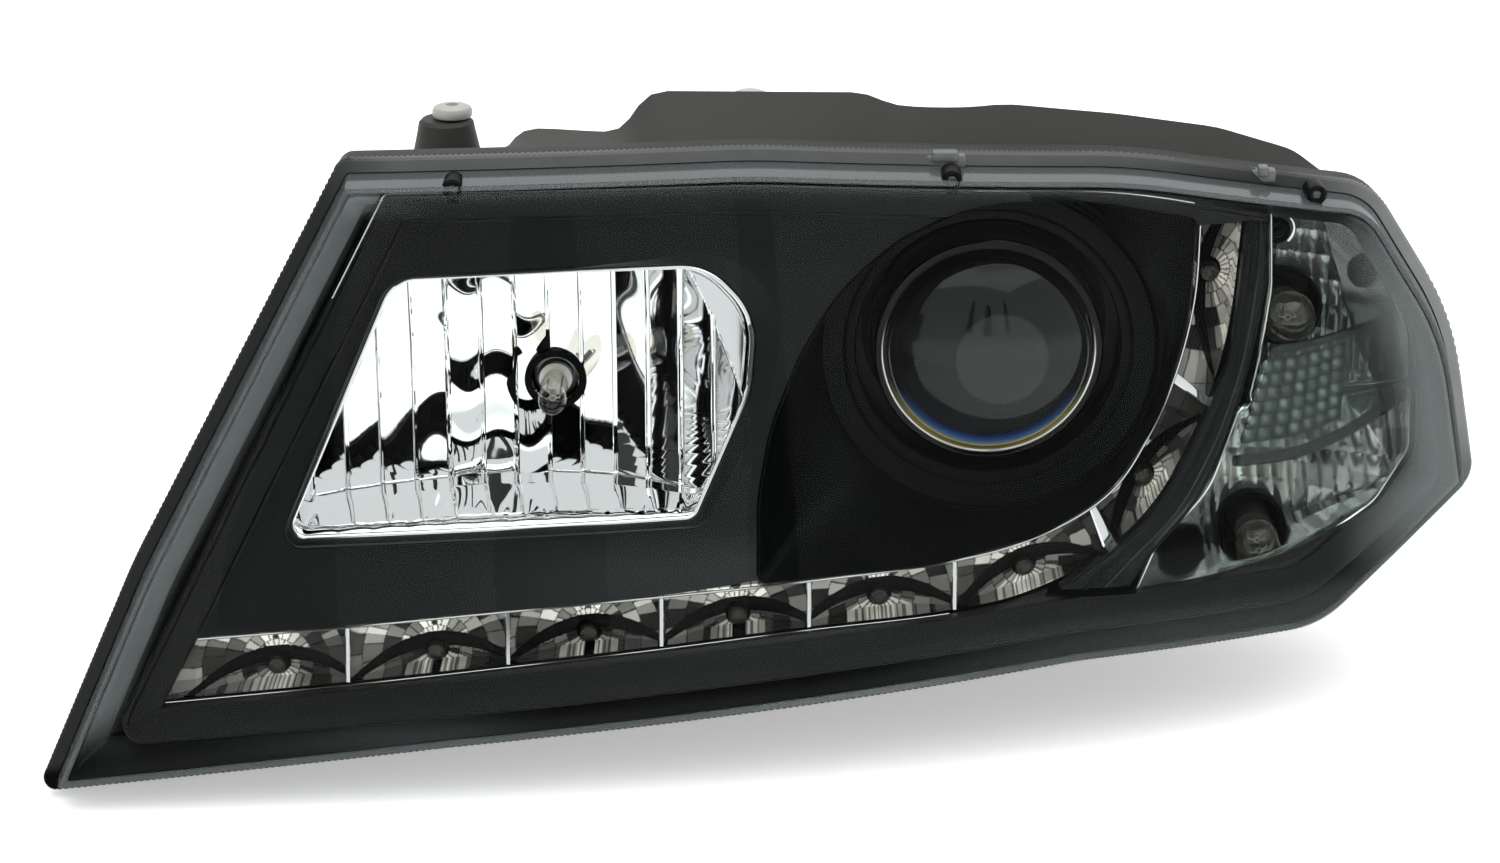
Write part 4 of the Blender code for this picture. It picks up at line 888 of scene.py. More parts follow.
# Painted light on the lens flange: a painted sheen on the right side and along the top, and painted shade along the
# lower edge.
def flange_tone(x, y, z):
    right, top = ramp(x, 170, 240), ramp(z, 60, 76) * ramp(x, -140, -110)
    under = ramp(z + 92.5 - 0.09 * x - 0.12 * max(0, x - 40), 8, 4)
    v = 0.012 - 0.0102 * under + 0.16 * right * ramp(z, -75, -20) + 0.06 * top
    return (v, v * 1.06, v * 1.04)


paint(flange_ring, flange_tone, False)

# smoky gutter between the lens wall and the bezel; its band carries painted light, paler on the left, along the top
# and on the right, and its own dark colour elsewhere
def band_light_tone(x, y, z):
    left = ramp(x, -60, -130) * ramp(z, -100, -82)
    top = ramp(z, 58, 70)
    right = ramp(x, 200, 236) * ramp(z, -72, -30)
    v = 0.008 + 0.19 * max(left * 1.35, top * 0.3, right * 1.2)
    return (v * 0.95, v * 1.03, v * 1.03)


def gutter_at(d, y):
    return surfaced(lens_loop(d), y)


# painted milky light where the lens turns back to its side wall, standing for the lens edge seen at a grazing angle;
# it is strongest on the right
def edge_light_material():
    m, nodes, links = new_material("lens_edge_light")
    nodes.remove(nodes["Principled BSDF"])
    tone = nodes.new("ShaderNodeAttribute")
    tone.attribute_name = "tone"
    where = nodes.new("ShaderNodeTexCoord")
    tex = nodes.new("ShaderNodeTexNoise")
    tex.inputs["Scale"].default_value, tex.inputs["Detail"].default_value = 22, 2
    links.new(where.outputs["Object"], tex.inputs["Vector"])
    gain = nodes.new("ShaderNodeMapRange")
    gain.inputs["To Min"].default_value, gain.inputs["To Max"].default_value = 0.75, 1.2
    links.new(tex.outputs["Fac"], gain.inputs["Value"])
    share = nodes.new("ShaderNodeMath")
    share.operation = "MULTIPLY"
    links.new(tone.outputs["Fac"], share.inputs[0])
    links.new(gain.outputs["Result"], share.inputs[1])
    through = nodes.new("ShaderNodeBsdfTransparent")
    haze = nodes.new("ShaderNodeBsdfDiffuse")
    haze.inputs["Color"].default_value = (0.22, 0.235, 0.23, 1)
    mix = nodes.new("ShaderNodeMixShader")
    links.new(share.outputs[0], mix.inputs["Fac"])
    links.new(through.outputs[0], mix.inputs[1])
    links.new(haze.outputs[0], mix.inputs[2])
    links.new(mix.outputs[0], nodes["Material Output"].inputs["Surface"])
    return m


HAZE_STEPS = (-8.3, -9.6, -11, -12.6, -14.4, -16.4, -18.6, -21, -24, -28, -33)
haze_rings = [surfaced(lens_loop(d), LENS_WALL + 0.9) for d in HAZE_STEPS]
haze = sheet([ring + [ring[0]] for ring in haze_rings])
finish_piece(haze, "lens_edge_light", "root", edge_light_material(), angle=60)
haze_map = {}
for d, ring in zip(HAZE_STEPS, haze_rings):
    for p in ring:
        haze_map[(round(p[0], 2), round(p[2], 2))] = d


# Strength of the painted milky light: strongest on the right, weaker on the left, along the top and at the foot, with
# a lighter patch at the top-left corner.
def edge_light_tone(x, y, z):
    d = haze_map.get((round(x, 2), round(z, 2)))
    if d is None:
        d = min(haze_map.items(), key=lambda item: (item[0][0] - x) ** 2 + (item[0][1] - z) ** 2)[1]
    left = ramp(x, -90, -150) * ramp(z, -100, -82)
    right = ramp(x, 196, 236) * ramp(z, -78, -40)
    top = ramp(z, 52, 66)
    foot = ramp(z, -62, -74) * ramp(x, 20, 150)
    corner_patch = ramp(math.dist((x, z), (-128, 77)), 11, 6)
    v = max(corner_patch * 0.42, left * 0.14 * ramp(d, -17, -11), right * 0.58 * ramp(d, -33, -15), top * 0.06 * ramp(d, -12, -9), foot * 0.08 * ramp(d, -24, -12))
    return (v, v, v)


paint(haze, edge_light_tone, False)
thicken(haze, 0.25, 1)

band_profile = ((-7.9, 5.0), (-8.6, 9.0), (-9.4, 12.0), (-10.8, 14.6), (-12.6, 16.6), (-14.4, 18.0), (-14.6, 19.2), (-12.4, 18.0), (-10.2, 16.0), (-8.6, 13.2), (-7.9, 9.0))
side_band = finish_piece(loft([gutter_at(d, y) for d, y in band_profile], ring_closed=True), "lens_side_band", "root", M_BAND, angle=40)
paint(side_band, band_light_tone, False)
floor_profile = ((-8.0, 16.5), (-12.4, 19.2), (-13.4, 25.6), (-12.6, 25.8), (-11.6, 20.2), (-8.0, 17.6))
gutter = finish_piece(loft([gutter_at(d, y) for d, y in floor_profile], ring_closed=True), "lens_gutter", "root", M_SHADE, angle=40)

bead = [surfaced(lens_loop(d), y) for d, y in ((-7.5, 19.5), (-7.3, 18.9), (-6.9, 19.4), (-6.9, 26.2), (-3.6, 26.2), (-3.4, 25.6), (-7.5, 25.6))]
finish_piece(loft([surfaced(lens_loop(d), y) for d, y in ((-7.4, 25.5), (-3.4, 25.5), (-3.4, 26.5), (-7.4, 26.5))], ring_closed=True),
             "sealing_bead_ring", "root", M_BEAD, ["lens_bead"])

# ------------------------------------------------------------------ bezel
RIM_LINE = [(x, z + 2.2 if z > 60 else z, r) for x, z, r in BEZEL]


def bezel_loop(d, step=None, arc=None):
    return trace(offset(RIM_LINE, d), RIM_LINE, step, arc)


rim_profile = ((-12.0, 14.6), (-10.6, 13.6), (-10.0, 12.2), (-8.6, 11.9), (-4.4, 10.6), (-2.6, 9.6), (-1.9, 8.4), (-1.2, 8.0), (-0.5, 8.2), (0, 9),
               (0.0, 24), (-1.8, 24), (-2.2, 16), (-12.0, 16.4))
rim_body = loft([surfaced(bezel_loop(d), y) for d, y in rim_profile], ring_closed=True)


def opening(ctrl, grow):
    return prism(trace(offset(ctrl, grow), ctrl, 4, 8), lambda x, z: face_y(x, z) - 4, lambda x, z: face_y(x, z) + 40)


def shift(line, d):
    out = []
    for i, p in enumerate(line):
        a, b = line[max(0, i - 1)], line[min(len(line) - 1, i + 1)]
        t = Vector((b[0] - a[0], b[1] - a[1])).normalized()
        out.append((p[0] - t.y * d, p[1] + t.x * d))
    return out


def curve(line, per=8):
    """A smooth chain through the given points."""
    pts, out = [Vector(p) for p in line], []
    for i in range(len(pts) - 1):
        p0, p1, p2, p3 = pts[max(0, i - 1)], pts[i], pts[i + 1], pts[min(len(pts) - 1, i + 2)]
        for k in range(per):
            t = k / per
            out.append(0.5 * ((2 * p1) + (p2 - p0) * t + (2 * p0 - 5 * p1 + 4 * p2 - p3) * t * t + (3 * p1 - p0 - 3 * p2 + p3) * t ** 3))
    out.append(pts[-1])
    return [(v.x, v.y) for v in out]


def band(first, second):
    return list(first) + list(reversed(second))


ARC_IN = [(103, -61.2), (120, -51), (134.5, -40.5), (147.5, -20.5), (156.5, -3.5), (161.5, 7), (165.5, 35), (168, 50)]
ARC_OUT = [(127.5, -62.6), (135, -53), (149, -39), (158, -25), (163, -13), (169.5, 9), (174.5, 31), (174.8, 49)]
TOP, BOTTOM = curve(STRIP_TOP), curve(STRIP_BOTTOM)
HIGH_RIM = [(-117.4, 46.6, 13), (-154.4, -37.6, 6), (-15, -34.6, 7), (8, 6.5, 34), (12, 34, 27), (-9, 52.5, 27), (-60, 48.2, 200)]

inner_front = bezel_loop(-11.4)
rings = [surfaced(scaled(inner_front, CENTRE, s), 14.3) for s in (0.12, 0.24, 0.36, 0.48, 0.6, 0.72, 0.84, 0.93)] + [surfaced(inner_front, 14.3)]
rings += [surfaced(inner_front, 16)] + [surfaced(scaled(inner_front, CENTRE, s), 16) for s in (0.93, 0.84, 0.72, 0.6, 0.48, 0.36, 0.24, 0.12)]
panel = loft(rings, (CENTRE[0], face_y(*CENTRE) + 14.3, CENTRE[1]), (CENTRE[0], face_y(*CENTRE) + 16, CENTRE[1]))
cutters = [opening(HIGH_RIM, -0.6), opening(DISH, 0.8)]
wide_top = curve([p if p[0] > 3 else q for p, q in zip(shift(STRIP_TOP, 2.6), shift(STRIP_TOP, 0.3))])
cutters.append(prism(band(wide_top, shift(BOTTOM, -0.3)), lambda x, z: face_y(x, z) - 4, lambda x, z: face_y(x, z) + 40))
cutters.append(prism(band([(98, -64.5)] + shift(curve(ARC_IN), 3), [(129.5, -66)] + shift(curve(ARC_OUT), -4)),
                     lambda x, z: face_y(x, z) - 4, lambda x, z: face_y(x, z) + 40))
CORNER_SEEN = [(174, 55.5, 3), (175, 26, 60), (168, -6, 60), (154, -36, 50), (134, -55, 20), (127, -66, 2),
               (156, -65, 200), (184, -61, 100), (217, -50, 14), (231, -34, 8), (230, 5, 40), (214, 40, 24), (194, 50.5, 60)]
cutters.append(opening(CORNER_SEEN, 0))
join(panel, rim_body)
cut(panel, *cutters)
finish_piece(panel, "bezel_panel", "root", M_SATIN, ["bezel"], 28)
# painted highlight: a thin chrome wire along the top of the bezel's front edge stands for the highlight line on that
# edge
edge_line = [(x, face_y(x, z) + 7.75, z) for x, z in bezel_loop(-0.9)]
top_line = [p for p in edge_line if p[2] > 30 and -135 < p[0] < 150]
start = next(i for i, p in enumerate(top_line) if math.dist(p, top_line[i - 1]) > 30) if any(
    math.dist(top_line[i - 1], top_line[i]) > 30 for i in range(1, len(top_line))) else 0
top_line = top_line[start:] + top_line[:start]
finish_piece(wire(top_line, 0.24, 6), "bezel_edge_highlight", "root", M_TRIM)

# funnel round the main-beam opening
NF = 7
funnel = []
for t, d in ((0.0, 14.3), (0.06, 14.1), (0.14, 14.4), (0.42, 16.2), (0.78, 17.6), (0.93, 18.6), (1.0, 20.2), (1.0, 21.2), (0.94, 20.9), (0.3, 18.0), (0.0, 16.2)):
    mixed = [(a[0] + (b[0] - a[0]) * t, a[1] + (b[1] - a[1]) * t, a[2] + (b[2] - a[2]) * t) for a, b in zip(HIGH_RIM, HIGH_OPENING)]
    funnel.append(surfaced(trace(mixed, HIGH_OPENING, 4, 10), d))
finish_piece(loft(funnel, ring_closed=True), "high_beam_funnel", "root", M_SATIN, angle=28)
trim = []
for k in range(10):
    a = 2 * math.pi * k / 10
    trim.append(surfaced(trace(offset(HIGH_OPENING, -0.5 + 0.85 * math.cos(a)), HIGH_OPENING, 4, 10), 19.2 + 0.85 * math.sin(a)))
finish_piece(loft(trim, ring_closed=True), "high_beam_trim_ring", "root", M_TRIM, ["high_beam_trim"])

# screws and their ears in the gap above the bezel
SCREWS = [(-96, 66.5), (67, 63.8), (191, 46.5)]
for k, (x, z, d) in enumerate(((-95.5, 75.2, 4.6), (66, 72.3, 4.6), (191.5, 57.4, 5.0)), 1):
    y = face_y(x, z)
    ear = lathe([(1.5, d), (2.5, d - 0.5), (3.3, d + 0.1), (3.5, d + 1.2), (3.5, d + 9), (1.5, d + 9)], (x, y, z), Y, 32)
    stem = soft_block((x - 2.0, y + d + 1.6, z - 5.6), (x + 2.0, y + d + 5.4, z - 2.6), 0.7)
    join(ear, stem)
    finish_piece(ear, f"bezel_ear_{k}", "root", M_GLOSS)
    head = lathe([(0, d + 0.5), (0.9, d + 0.4), (1.8, d + 0.6), (2.1, d + 1.1), (2.1, d + 1.8), (0, d + 1.8)], (x, y, z), Y, 28)
    cross = [block((x - 1.3, y + d, z - 0.25), (x + 1.3, y + d + 0.9, z + 0.25)), block((x - 0.25, y + d, z - 1.3), (x + 0.25, y + d + 0.9, z + 1.3))]
    cut(head, *cross)
    finish_piece(head, f"bezel_screw_head_{k}", "root", M_STEEL_DARK, [f"bezel_screw_{k}"])

# moulded clip pads on the flange
for k, (x0, x1, z) in enumerate(((57.4, 71.2, 76.4), (169.4, 178.2, 63.4)), 1):
    y = face_y((x0 + x1) / 2, z)
    pad = soft_block((x0, y + 15.2, z - 3.2), (x1, y + 20.2, z + 1.2), 0.8)
    join(pad, soft_block((x0 + 2.6, y + 14.6, z - 1.2), (x1 - 2.6, y + 19.6, z + 2.4), 0.7))
    finish_piece(pad, f"lens_clip_pad_{k}", "root", M_PAD)

# ------------------------------------------------------------------ projector surround
def circle_for(points, centre, r, y):
    out = []
    for x, z in points:
        v = Vector((x - centre[0], z - centre[1])).normalized() * r
        out.append((centre[0] + v.x, y, centre[1] + v.y))
    return out


def between(a, b, t, bow=0.0):
    return [tuple(p[k] + (q[k] - p[k]) * t + (bow * 4 * t * (1 - t) if k == 1 else 0) for k in range(3)) for p, q in zip(a, b)]


dish_edge = trace(offset(DISH, -0.3), DISH, 4, 8)
edge3 = surfaced(dish_edge, 13.6)
outer_ring = circle_for(dish_edge, LOW, 57, 47.5)
rings = [surfaced(trace(offset(DISH, 0.9), DISH, 4, 8), 14.6), surfaced(trace(offset(DISH, 0.2), DISH, 4, 8), 13.4), edge3]
rings += [between(edge3, outer_ring, t, 4) for t in (0.08, 0.2, 0.35, 0.5, 0.65, 0.8, 0.92)]
rings += [outer_ring, circle_for(dish_edge, LOW, 55.6, 49.4), circle_for(dish_edge, LOW, 54.6, 49.9), circle_for(dish_edge, LOW, 49, 51.6),
          circle_for(dish_edge, LOW, 48.0, 52.8), circle_for(dish_edge, LOW, 47.2, 53.2), circle_for(dish_edge, LOW, 45.0, 53.6),
          circle_for(dish_edge, LOW, 44.5, 54.2), circle_for(dish_edge, LOW, 44.5, 62), circle_for(dish_edge, LOW, 46.3, 62),
          circle_for(dish_edge, LOW, 46.3, 57), circle_for(dish_edge, LOW, 58, 51)]
rings += [between(circle_for(dish_edge, LOW, 58, 51), surfaced(dish_edge, 16.4), t, 4) for t in (0.08, 0.2, 0.35, 0.5, 0.65, 0.8, 0.92)]
rings += [surfaced(dish_edge, 16.4)]
finish_piece(loft(rings, ring_closed=True), "projector_surround", "root", M_GLOSS, ["projector_dish"], 24)

# ------------------------------------------------------------------ projector lens and its ring
dome = [(0, 33.0)]
dome += [(34.4 * math.sin(a), 52 - 19 * math.cos(a)) for a in [math.pi / 2 * k / 28 for k in range(1, 29)]]
dome += [(35.5, 52), (35.5, 55), (0, 55)]
finish_piece(lathe(dome, at(LOW, 0), Y, 96), "projector_dome", "aim", dome_material(), ["projector_lens"], 40)
ring = [(34.7, 50.4), (34.9, 49.7), (35.3, 49.2), (35.7, 49.0), (36.1, 49.0), (36.6, 49.1), (37.8, 49.2), (38.4, 49.8), (38.5, 51.6), (34.7, 51.6)]
M_RING = painted("projector_ring_metal", 0.95, 0.06)
ring_piece = finish_piece(lathe(ring, at(LOW, 0), Y, 120), "projector_bright_ring", "aim", M_RING, ["projector_ring"])


# Painted highlight: the ring's metal is bright only low on its inner edge and near black elsewhere.
def ring_highlight_tone(x, y, z):
    a = math.hypot(x - LOW[0], z - LOW[1])
    v = 0.012 + 0.9 * ramp(z - LOW[1], 12, -6) * ramp(a, 36.1, 35.5)
    return (v, v * 0.99, v * 0.93)


paint(ring_piece, ring_highlight_tone, False)
carrier = [(35.9, 51.9), (38.3, 51.9), (38.5, 53), (38.5, 66), (39.5, 67), (39.5, 70), (38.3, 71), (38.3, 78.5), (42, 78.5), (42, 82), (33.2, 82),
           (33.2, 55.3), (35.9, 55.3)]
M_BARREL = plastic("projector_barrel_finish", (0.009, 0.0095, 0.0095), 0.5, 0.06, 400, 0.1, specular=0.15)
finish_piece(lathe(carrier, at(LOW, 0), Y, 96), "projector_barrel", "aim", M_BARREL, ["projector_holder"])


# ------------------------------------------------------------------ main-beam reflector
FLUTE = 11.3
FLUTE_0 = -147.5


def fluted_bowl(x, z):
    k = (x - FLUTE_0) / FLUTE
    t = (k - math.floor(k)) * 2 - 1
    n = math.floor(k)
    base = 62 - (x + 72) ** 2 / (290 if x < -72 else 140) - (z - HIGH[1]) ** 2 / (620 if z < HIGH[1] else 460)
    lean = (hashed(n, 3) - 0.5) * 0.10
    wave = (0.4 + hashed(n, 5)) * 0.85 * math.sin(z * 0.19 + 0.45 * math.sin(x * 0.31) + hashed(n, 9) * 6.3) * math.exp(-((x + 84) / 27) ** 2)
    wave += 0.5 * hashed(n, 13) * math.sin(z * 0.17 + hashed(n, 15) * 6.3) * ramp(x, -50, -24)
    groove = 0.75 * (abs(t) - 0.86) / 0.14 if abs(t) > 0.86 else 0
    return max(face_y(x, z) + 27.2, base - 0.42 * (1 - t * t) + groove + lean * (x - FLUTE_0 - FLUTE * (n + 0.5)) + wave)


bowl = columns(HIGH_OPENING, 3.6, 560, 80, fluted_bowl)
bm = bmesh.new()
bm.from_mesh(bowl.data)
hole = [f for f in bm.faces if math.dist((f.calc_center_median().x, f.calc_center_median().z), HIGH) < 8.2]
bmesh.ops.delete(bm, geom=hole, context="FACES")
bm.to_mesh(bowl.data)
bm.free()
finish_piece(thicken(bowl, 1.2), "high_beam_bowl", "aim", M_CHROME, ["high_beam_reflector"], 16)
side = trace(offset(HIGH_OPENING, 3.6), HIGH_OPENING, 1.2, 14)


def fluted_side(points, t):
    out = []
    for x, z in points:
        y1 = fluted_bowl(x, z) + 0.6
        y0 = min(face_y(x, z) + 29.5, y1 - 0.8)
        k = (x - FLUTE_0) / FLUTE
        u = (k - math.floor(k)) * 2 - 1
        lift = 0.5 * (1 - u * u) * (1 - t) if z < -20 else 0
        out.append((x, y0 + (y1 - y0) * t, z + lift))
    return out


walls = sheet([fluted_side(side, t) for t in (0, 0.25, 0.5, 0.75, 1)], True)
finish_piece(thicken(walls, 1.2), "high_beam_walls", "aim", M_CHROME, angle=12)
back_ring = lathe([(8.0, 60.0), (9.6, 60.4), (9.6, 66), (17, 66), (17, 62), (10.5, 62), (10.5, 59.6), (8.4, 59.0)], at(HIGH, 0), Y, 48)
finish_piece(back_ring, "high_beam_collar", "aim", M_SHADE)
shield_back = lathe([(0, 65.2), (9.2, 65.2), (9.2, 65.9), (0, 65.9)], at(HIGH, 0), Y, 36)
finish_piece(shield_back, "high_beam_backing", "aim", M_SHADE)

# capsule: glass, metal foot, coil, feed wires
capsule = [(0, 32.6), (1.6, 32.9), (3.0, 33.8), (4.0, 35.2), (4.6, 37.2), (4.75, 40), (4.75, 58), (4.3, 61), (3.4, 62.5), (3.4, 64), (0, 64)]
finish_piece(lathe(capsule, at(HIGH, 0), Y, 40), "high_beam_capsule", "aim", M_BULB, ["high_beam_bulb"], 50)
foot = [(0, 60.5), (5.6, 60.5), (6.2, 61.2), (6.2, 64.6), (7.4, 65), (7.4, 66.3), (11, 66.3), (11, 68), (6, 68), (6, 75.6), (0, 75.6)]
finish_piece(lathe(foot, at(HIGH, 0), Y, 40), "high_beam_foot", "aim", M_STEEL, ["high_beam_bulb_base"])


def coil(name, axis, y0, y1, r, turns, body, wire_r=0.28):
    pts = []
    steps = int(turns * 10)
    for k in range(steps + 1):
        a = 2 * math.pi * turns * k / steps
        pts.append((axis[0] + r * math.cos(a), y0 + (y1 - y0) * k / steps, axis[1] + r * math.sin(a)))
    finish_piece(wire(pts, wire_r, 6), name, body, M_STEEL)


coil("high_beam_filament", HIGH, 41, 47, 1.0, 9, "aim")
for k, (dx, dz) in enumerate(((-2.4, 0), (2.4, 0.6)), 1):
    path = [(HIGH[0] + dx, 61, HIGH[1] + dz), (HIGH[0] + dx, 50 if k == 1 else 40, HIGH[1] + dz), (HIGH[0] + dx * 0.35, 48 if k == 1 else 39.5, HIGH[1] + dz)]
    finish_piece(wire(path, 0.35, 6), f"high_beam_lead_{k}", "aim", M_STEEL)

# ------------------------------------------------------------------ light strip
STATION = [i / (len(STRIP_TOP) - 1) for i in range(len(STRIP_TOP))]


def along(chain, t):
    f = max(0.0, min(1.0, t)) * (len(chain) - 1)
    i = min(int(f), len(chain) - 2)
    a, b = Vector(chain[i]), Vector(chain[i + 1])
    return a.lerp(b, f - i)


def share_at_x(chain, x):
    for i in range(len(chain) - 1):
        if chain[i][0] <= x <= chain[i + 1][0]:
            return (i + (x - chain[i][0]) / (chain[i + 1][0] - chain[i][0])) / (len(chain) - 1)
    return 0.0 if x < chain[0][0] else 1.0


LEDS = [(-155, -78), (-103, -74.5), (-53, -70.5), (-4, -67), (43, -63.5), (92, -58), (133, -33), (156, 31)]
DIVIDERS = [(x, x) for x in CELL_ENDS] + [(114, 121), (142, 154.6)]
cuts_top = [0.0] + [share_at_x(TOP, a) for a, _ in DIVIDERS] + [1.0]
cuts_bottom = [0.0] + [share_at_x(BOTTOM, b) for _, b in DIVIDERS] + [1.0]
RINGS = (0, 3.4, 7.5, 12.0, 17.5, 24.0, 34.0)


M_CHIP = plastic("lamp_chip", (0.030, 0.028, 0.019), 0.25, specular=0.4)
M_LAMP = plastic("lamp_body", (0.012, 0.0115, 0.0095), 0.25, specular=0.4)


def cup_depth(x, z, led):
    """Bowl of flat petals round one lamp: straight between rings and between spokes."""
    dx, dz = x - led[0], z - led[1]
    r, a = math.hypot(dx, dz), math.atan2(dz, dx)
    ring = next((k for k in range(len(RINGS) - 1) if r < RINGS[k + 1]), len(RINGS) - 2)
    spokes = 24
    half = math.pi / spokes
    shift_a = half * (ring % 2)
    local = (a + shift_a) % (2 * half) - half
    flat_r = r * math.cos(local) / math.cos(half)
    k = next((j for j in range(len(RINGS) - 1) if flat_r < RINGS[j + 1]), len(RINGS) - 2)
    r0, r1 = RINGS[k], RINGS[k + 1]
    f = lambda q: 0.0128 * q * q
    lift = f(r0) + (f(r1) - f(r0)) * (flat_r - r0) / (r1 - r0)
    return 28.6 - min(lift, 9.0)


def crescent(x, z, led, tangent):
    """1 inside the arch of painted dark reflection over each lamp."""
    normal = Vector((-tangent.y, tangent.x))
    dx = Vector((x - led[0], z - led[1]))
    u, v = dx.dot(tangent), dx.dot(normal)
    upper, lower = 5.2 - u * u / 85, 0.6 - u * u / 130
    if abs(u) < 11:
        lower = max(lower, -0.4) if v > -0.4 else lower
    return lower < v < upper


CREAM = (1.0, 0.955, 0.86)
SPOKES = 24


# Painted reflections on the strip's mirror petals: facets turned to the light are bright cream and those turned away
# are dark, with an arch of painted dark reflection over each lamp, and painted shade round the lamp and in the creases
# between facets.
def petal_tone(c, led, tangent, inside):
    normal = Vector((tangent.y, -tangent.x)) if inside(Vector((tangent.y, -tangent.x))) else Vector((-tangent.y, tangent.x))

    def tone(x, y, z):
        d = Vector((x - led[0], z - led[1]))
        u, v = d.dot(tangent), d.dot(normal)
        r, a = d.length, math.atan2(u, v)
        upper, lower = 5.4 - u * u / 85, 0.3 - u * u / 130
        # the arch of painted dark reflection, and painted shade round the lamp
        if lower < v < upper or r < 4.2:
            return (0.0015, 0.0015, 0.0015)
        k = next((j for j in range(len(RINGS) - 1) if r < RINGS[j + 1]), len(RINGS) - 2)
        s = (a + (math.pi / SPOKES if k % 2 else 0)) / (2 * math.pi / SPOKES)
        n = math.floor(s)
        edge = min(s - n, n + 1 - s) * 2 * math.pi * max(r, 3) / SPOKES
        gap = min(abs(r - RINGS[k]), abs(RINGS[k + 1] - r))
        off = abs(a) if v > 0 else math.pi - abs(a)
        off = math.degrees(off)
        h = hashed(c, n + 40, k)
        if v > 0:
            level_ = 0.75 + 0.25 * h if off < 30 else (0.02 + 0.85 * h * h if off < 66 else 0.01 + 0.4 * h * h * h)
            if off < 7 and k > 1:
                level_ = 0.05
        else:
            level_ = 0.55 + 0.45 * h if off < 46 else (0.2 + 0.4 * h if off < 68 else 0.01 + 0.2 * h * h)
        # painted shade in the creases between facets
        if edge < 0.28:
            level_ *= 0.3
        if gap < 0.25:
            level_ *= 0.4
        return tuple(level_ * q for q in CREAM)
    return tone


for c in range(8):
    rows = []
    nx, nz = (150, 50) if c < 6 else (170, 60)
    for i in range(nx + 1):
        t = i / nx
        p = along(TOP, cuts_top[c] + (cuts_top[c + 1] - cuts_top[c]) * t)
        q = along(BOTTOM, cuts_bottom[c] + (cuts_bottom[c + 1] - cuts_bottom[c]) * t)
        axis = (q - p).normalized()
        p, q = p + axis * 0.4, q - axis * 0.4
        rows.append([(v.x, face_y(v.x, v.y) + cup_depth(v.x, v.y, LEDS[c]), v.y) for v in (p.lerp(q, k / nz) for k in range(nz + 1))])
    mid = nx // 2
    a, b = Vector((rows[mid - 20][nz // 2][0], rows[mid - 20][nz // 2][2])), Vector((rows[mid + 20][nz // 2][0], rows[mid + 20][nz // 2][2]))
    tangent = (b - a).normalized()
    to_top = Vector((rows[mid][0][0] - rows[mid][nz][0], rows[mid][0][2] - rows[mid][nz][2]))
    front_top = [(p[0][0], face_y(p[0][0], p[0][2]) + 17.8, p[0][2]) for p in rows]
    front_bottom = [(p[-1][0], face_y(p[-1][0], p[-1][2]) + 17.8, p[-1][2]) for p in rows]
    full = [[front_top[i]] + rows[i] + [front_bottom[i]] for i in range(nx + 1)]
    cell = sheet(full)
    finish_piece(cell, f"strip_cell_{c + 1}", "root", M_FACET, ["led_reflector"] if c == 0 else (), flat=True)
    paint(cell, petal_tone(c, LEDS[c], tangent, lambda w, s=to_top: w.dot(s) > 0))
    thicken(cell, 0.5, 1)
    x, z = LEDS[c]
    y = face_y(x, z)
    lamp = lathe([(0, 24.0), (1.3, 24.0), (2.6, 24.3), (3.2, 25.2), (3.2, 29.5), (0, 29.5)], (x, y, z), Y, 36)
    finish_piece(lamp, f"strip_lamp_{c + 1}", "root", M_LAMP)
    chip = lathe([(0, 23.5), (0.9, 23.6), (1.7, 24.0), (1.9, 24.4), (0, 24.4)], (x, y, z), Y, 24)
    finish_piece(chip, f"strip_chip_{c + 1}", "root", M_CHIP)

# bright edges and dividers of the strip
def edge_bar(name, chain, inset, r, d, material=M_TRIM):
    pts = shift(chain, inset)
    path = [(x, face_y(x, z) + d, z) for x, z in pts]
    finish_piece(wire(path, r, 8), name, "root", material)


edge_bar("strip_edge_top", TOP, -0.4, 0.5, 14.9)
edge_bar("strip_edge_bottom", [p for p in BOTTOM if p[0] < 70], 0.3, 0.32, 15.2)


def divider_wall(k, t_top, t_bottom, w0, w1):
    p, q = along(TOP, t_top), along(BOTTOM, t_bottom)
    axis = (q - p).normalized()
    nrm = Vector((-axis.y, axis.x))
    quad = [p + axis * 0.3 + nrm * w0, q - axis * 0.3 + nrm * w1, q - axis * 0.3 - nrm * w1, p + axis * 0.3 - nrm * w0]
    pts = [(v.x, v.y) for v in quad]
    small = [((a[0] * 3 + sum(b[0] for b in pts) / 4) / 4, (a[1] * 3 + sum(b[1] for b in pts) / 4) / 4) for a in pts]
    body = loft([level(pts, lambda x, z: face_y(x, z) + 28), level(pts, lambda x, z: face_y(x, z) + 17.9),
                 [(x + (p.x * 0) , face_y(x, z) + 17.5, z) for x, z in
                  [((a[0] * 0.82 + c[0] * 0.18), (a[1] * 0.82 + c[1] * 0.18)) for a, c in zip(pts, [pts[3], pts[2], pts[1], pts[0]])]]],
                "flat", "flat")
    finish_piece(body, f"strip_divider_{k}", "root", M_TRIM)


for k in range(7):
    w0, w1 = (0.85, 0.85) if k < 5 else ((1.0, 2.2) if k == 5 else (1.5, 1.3))
    divider_wall(k + 1, cuts_top[k + 1], cuts_bottom[k + 1], w0, w1)

# ------------------------------------------------------------------ outer corner: mirrors, bulbs, bar, wing
TURN_EDGE = [(176.4, 47.5, 3), (176.6, 26, 30), (172.5, 4, 30), (168.5, -11, 3), (224, -11, 3), (224, 4, 20), (210, 34, 20), (192, 44, 30)]
PARK_EDGE = [(165.5, -14, 3), (155, -38, 30), (136, -55, 14), (130, -64, 3), (156, -62.5, 100), (184, -57.5, 100), (213, -46, 14), (224.5, -32, 8),
             (224.5, -14, 3)]


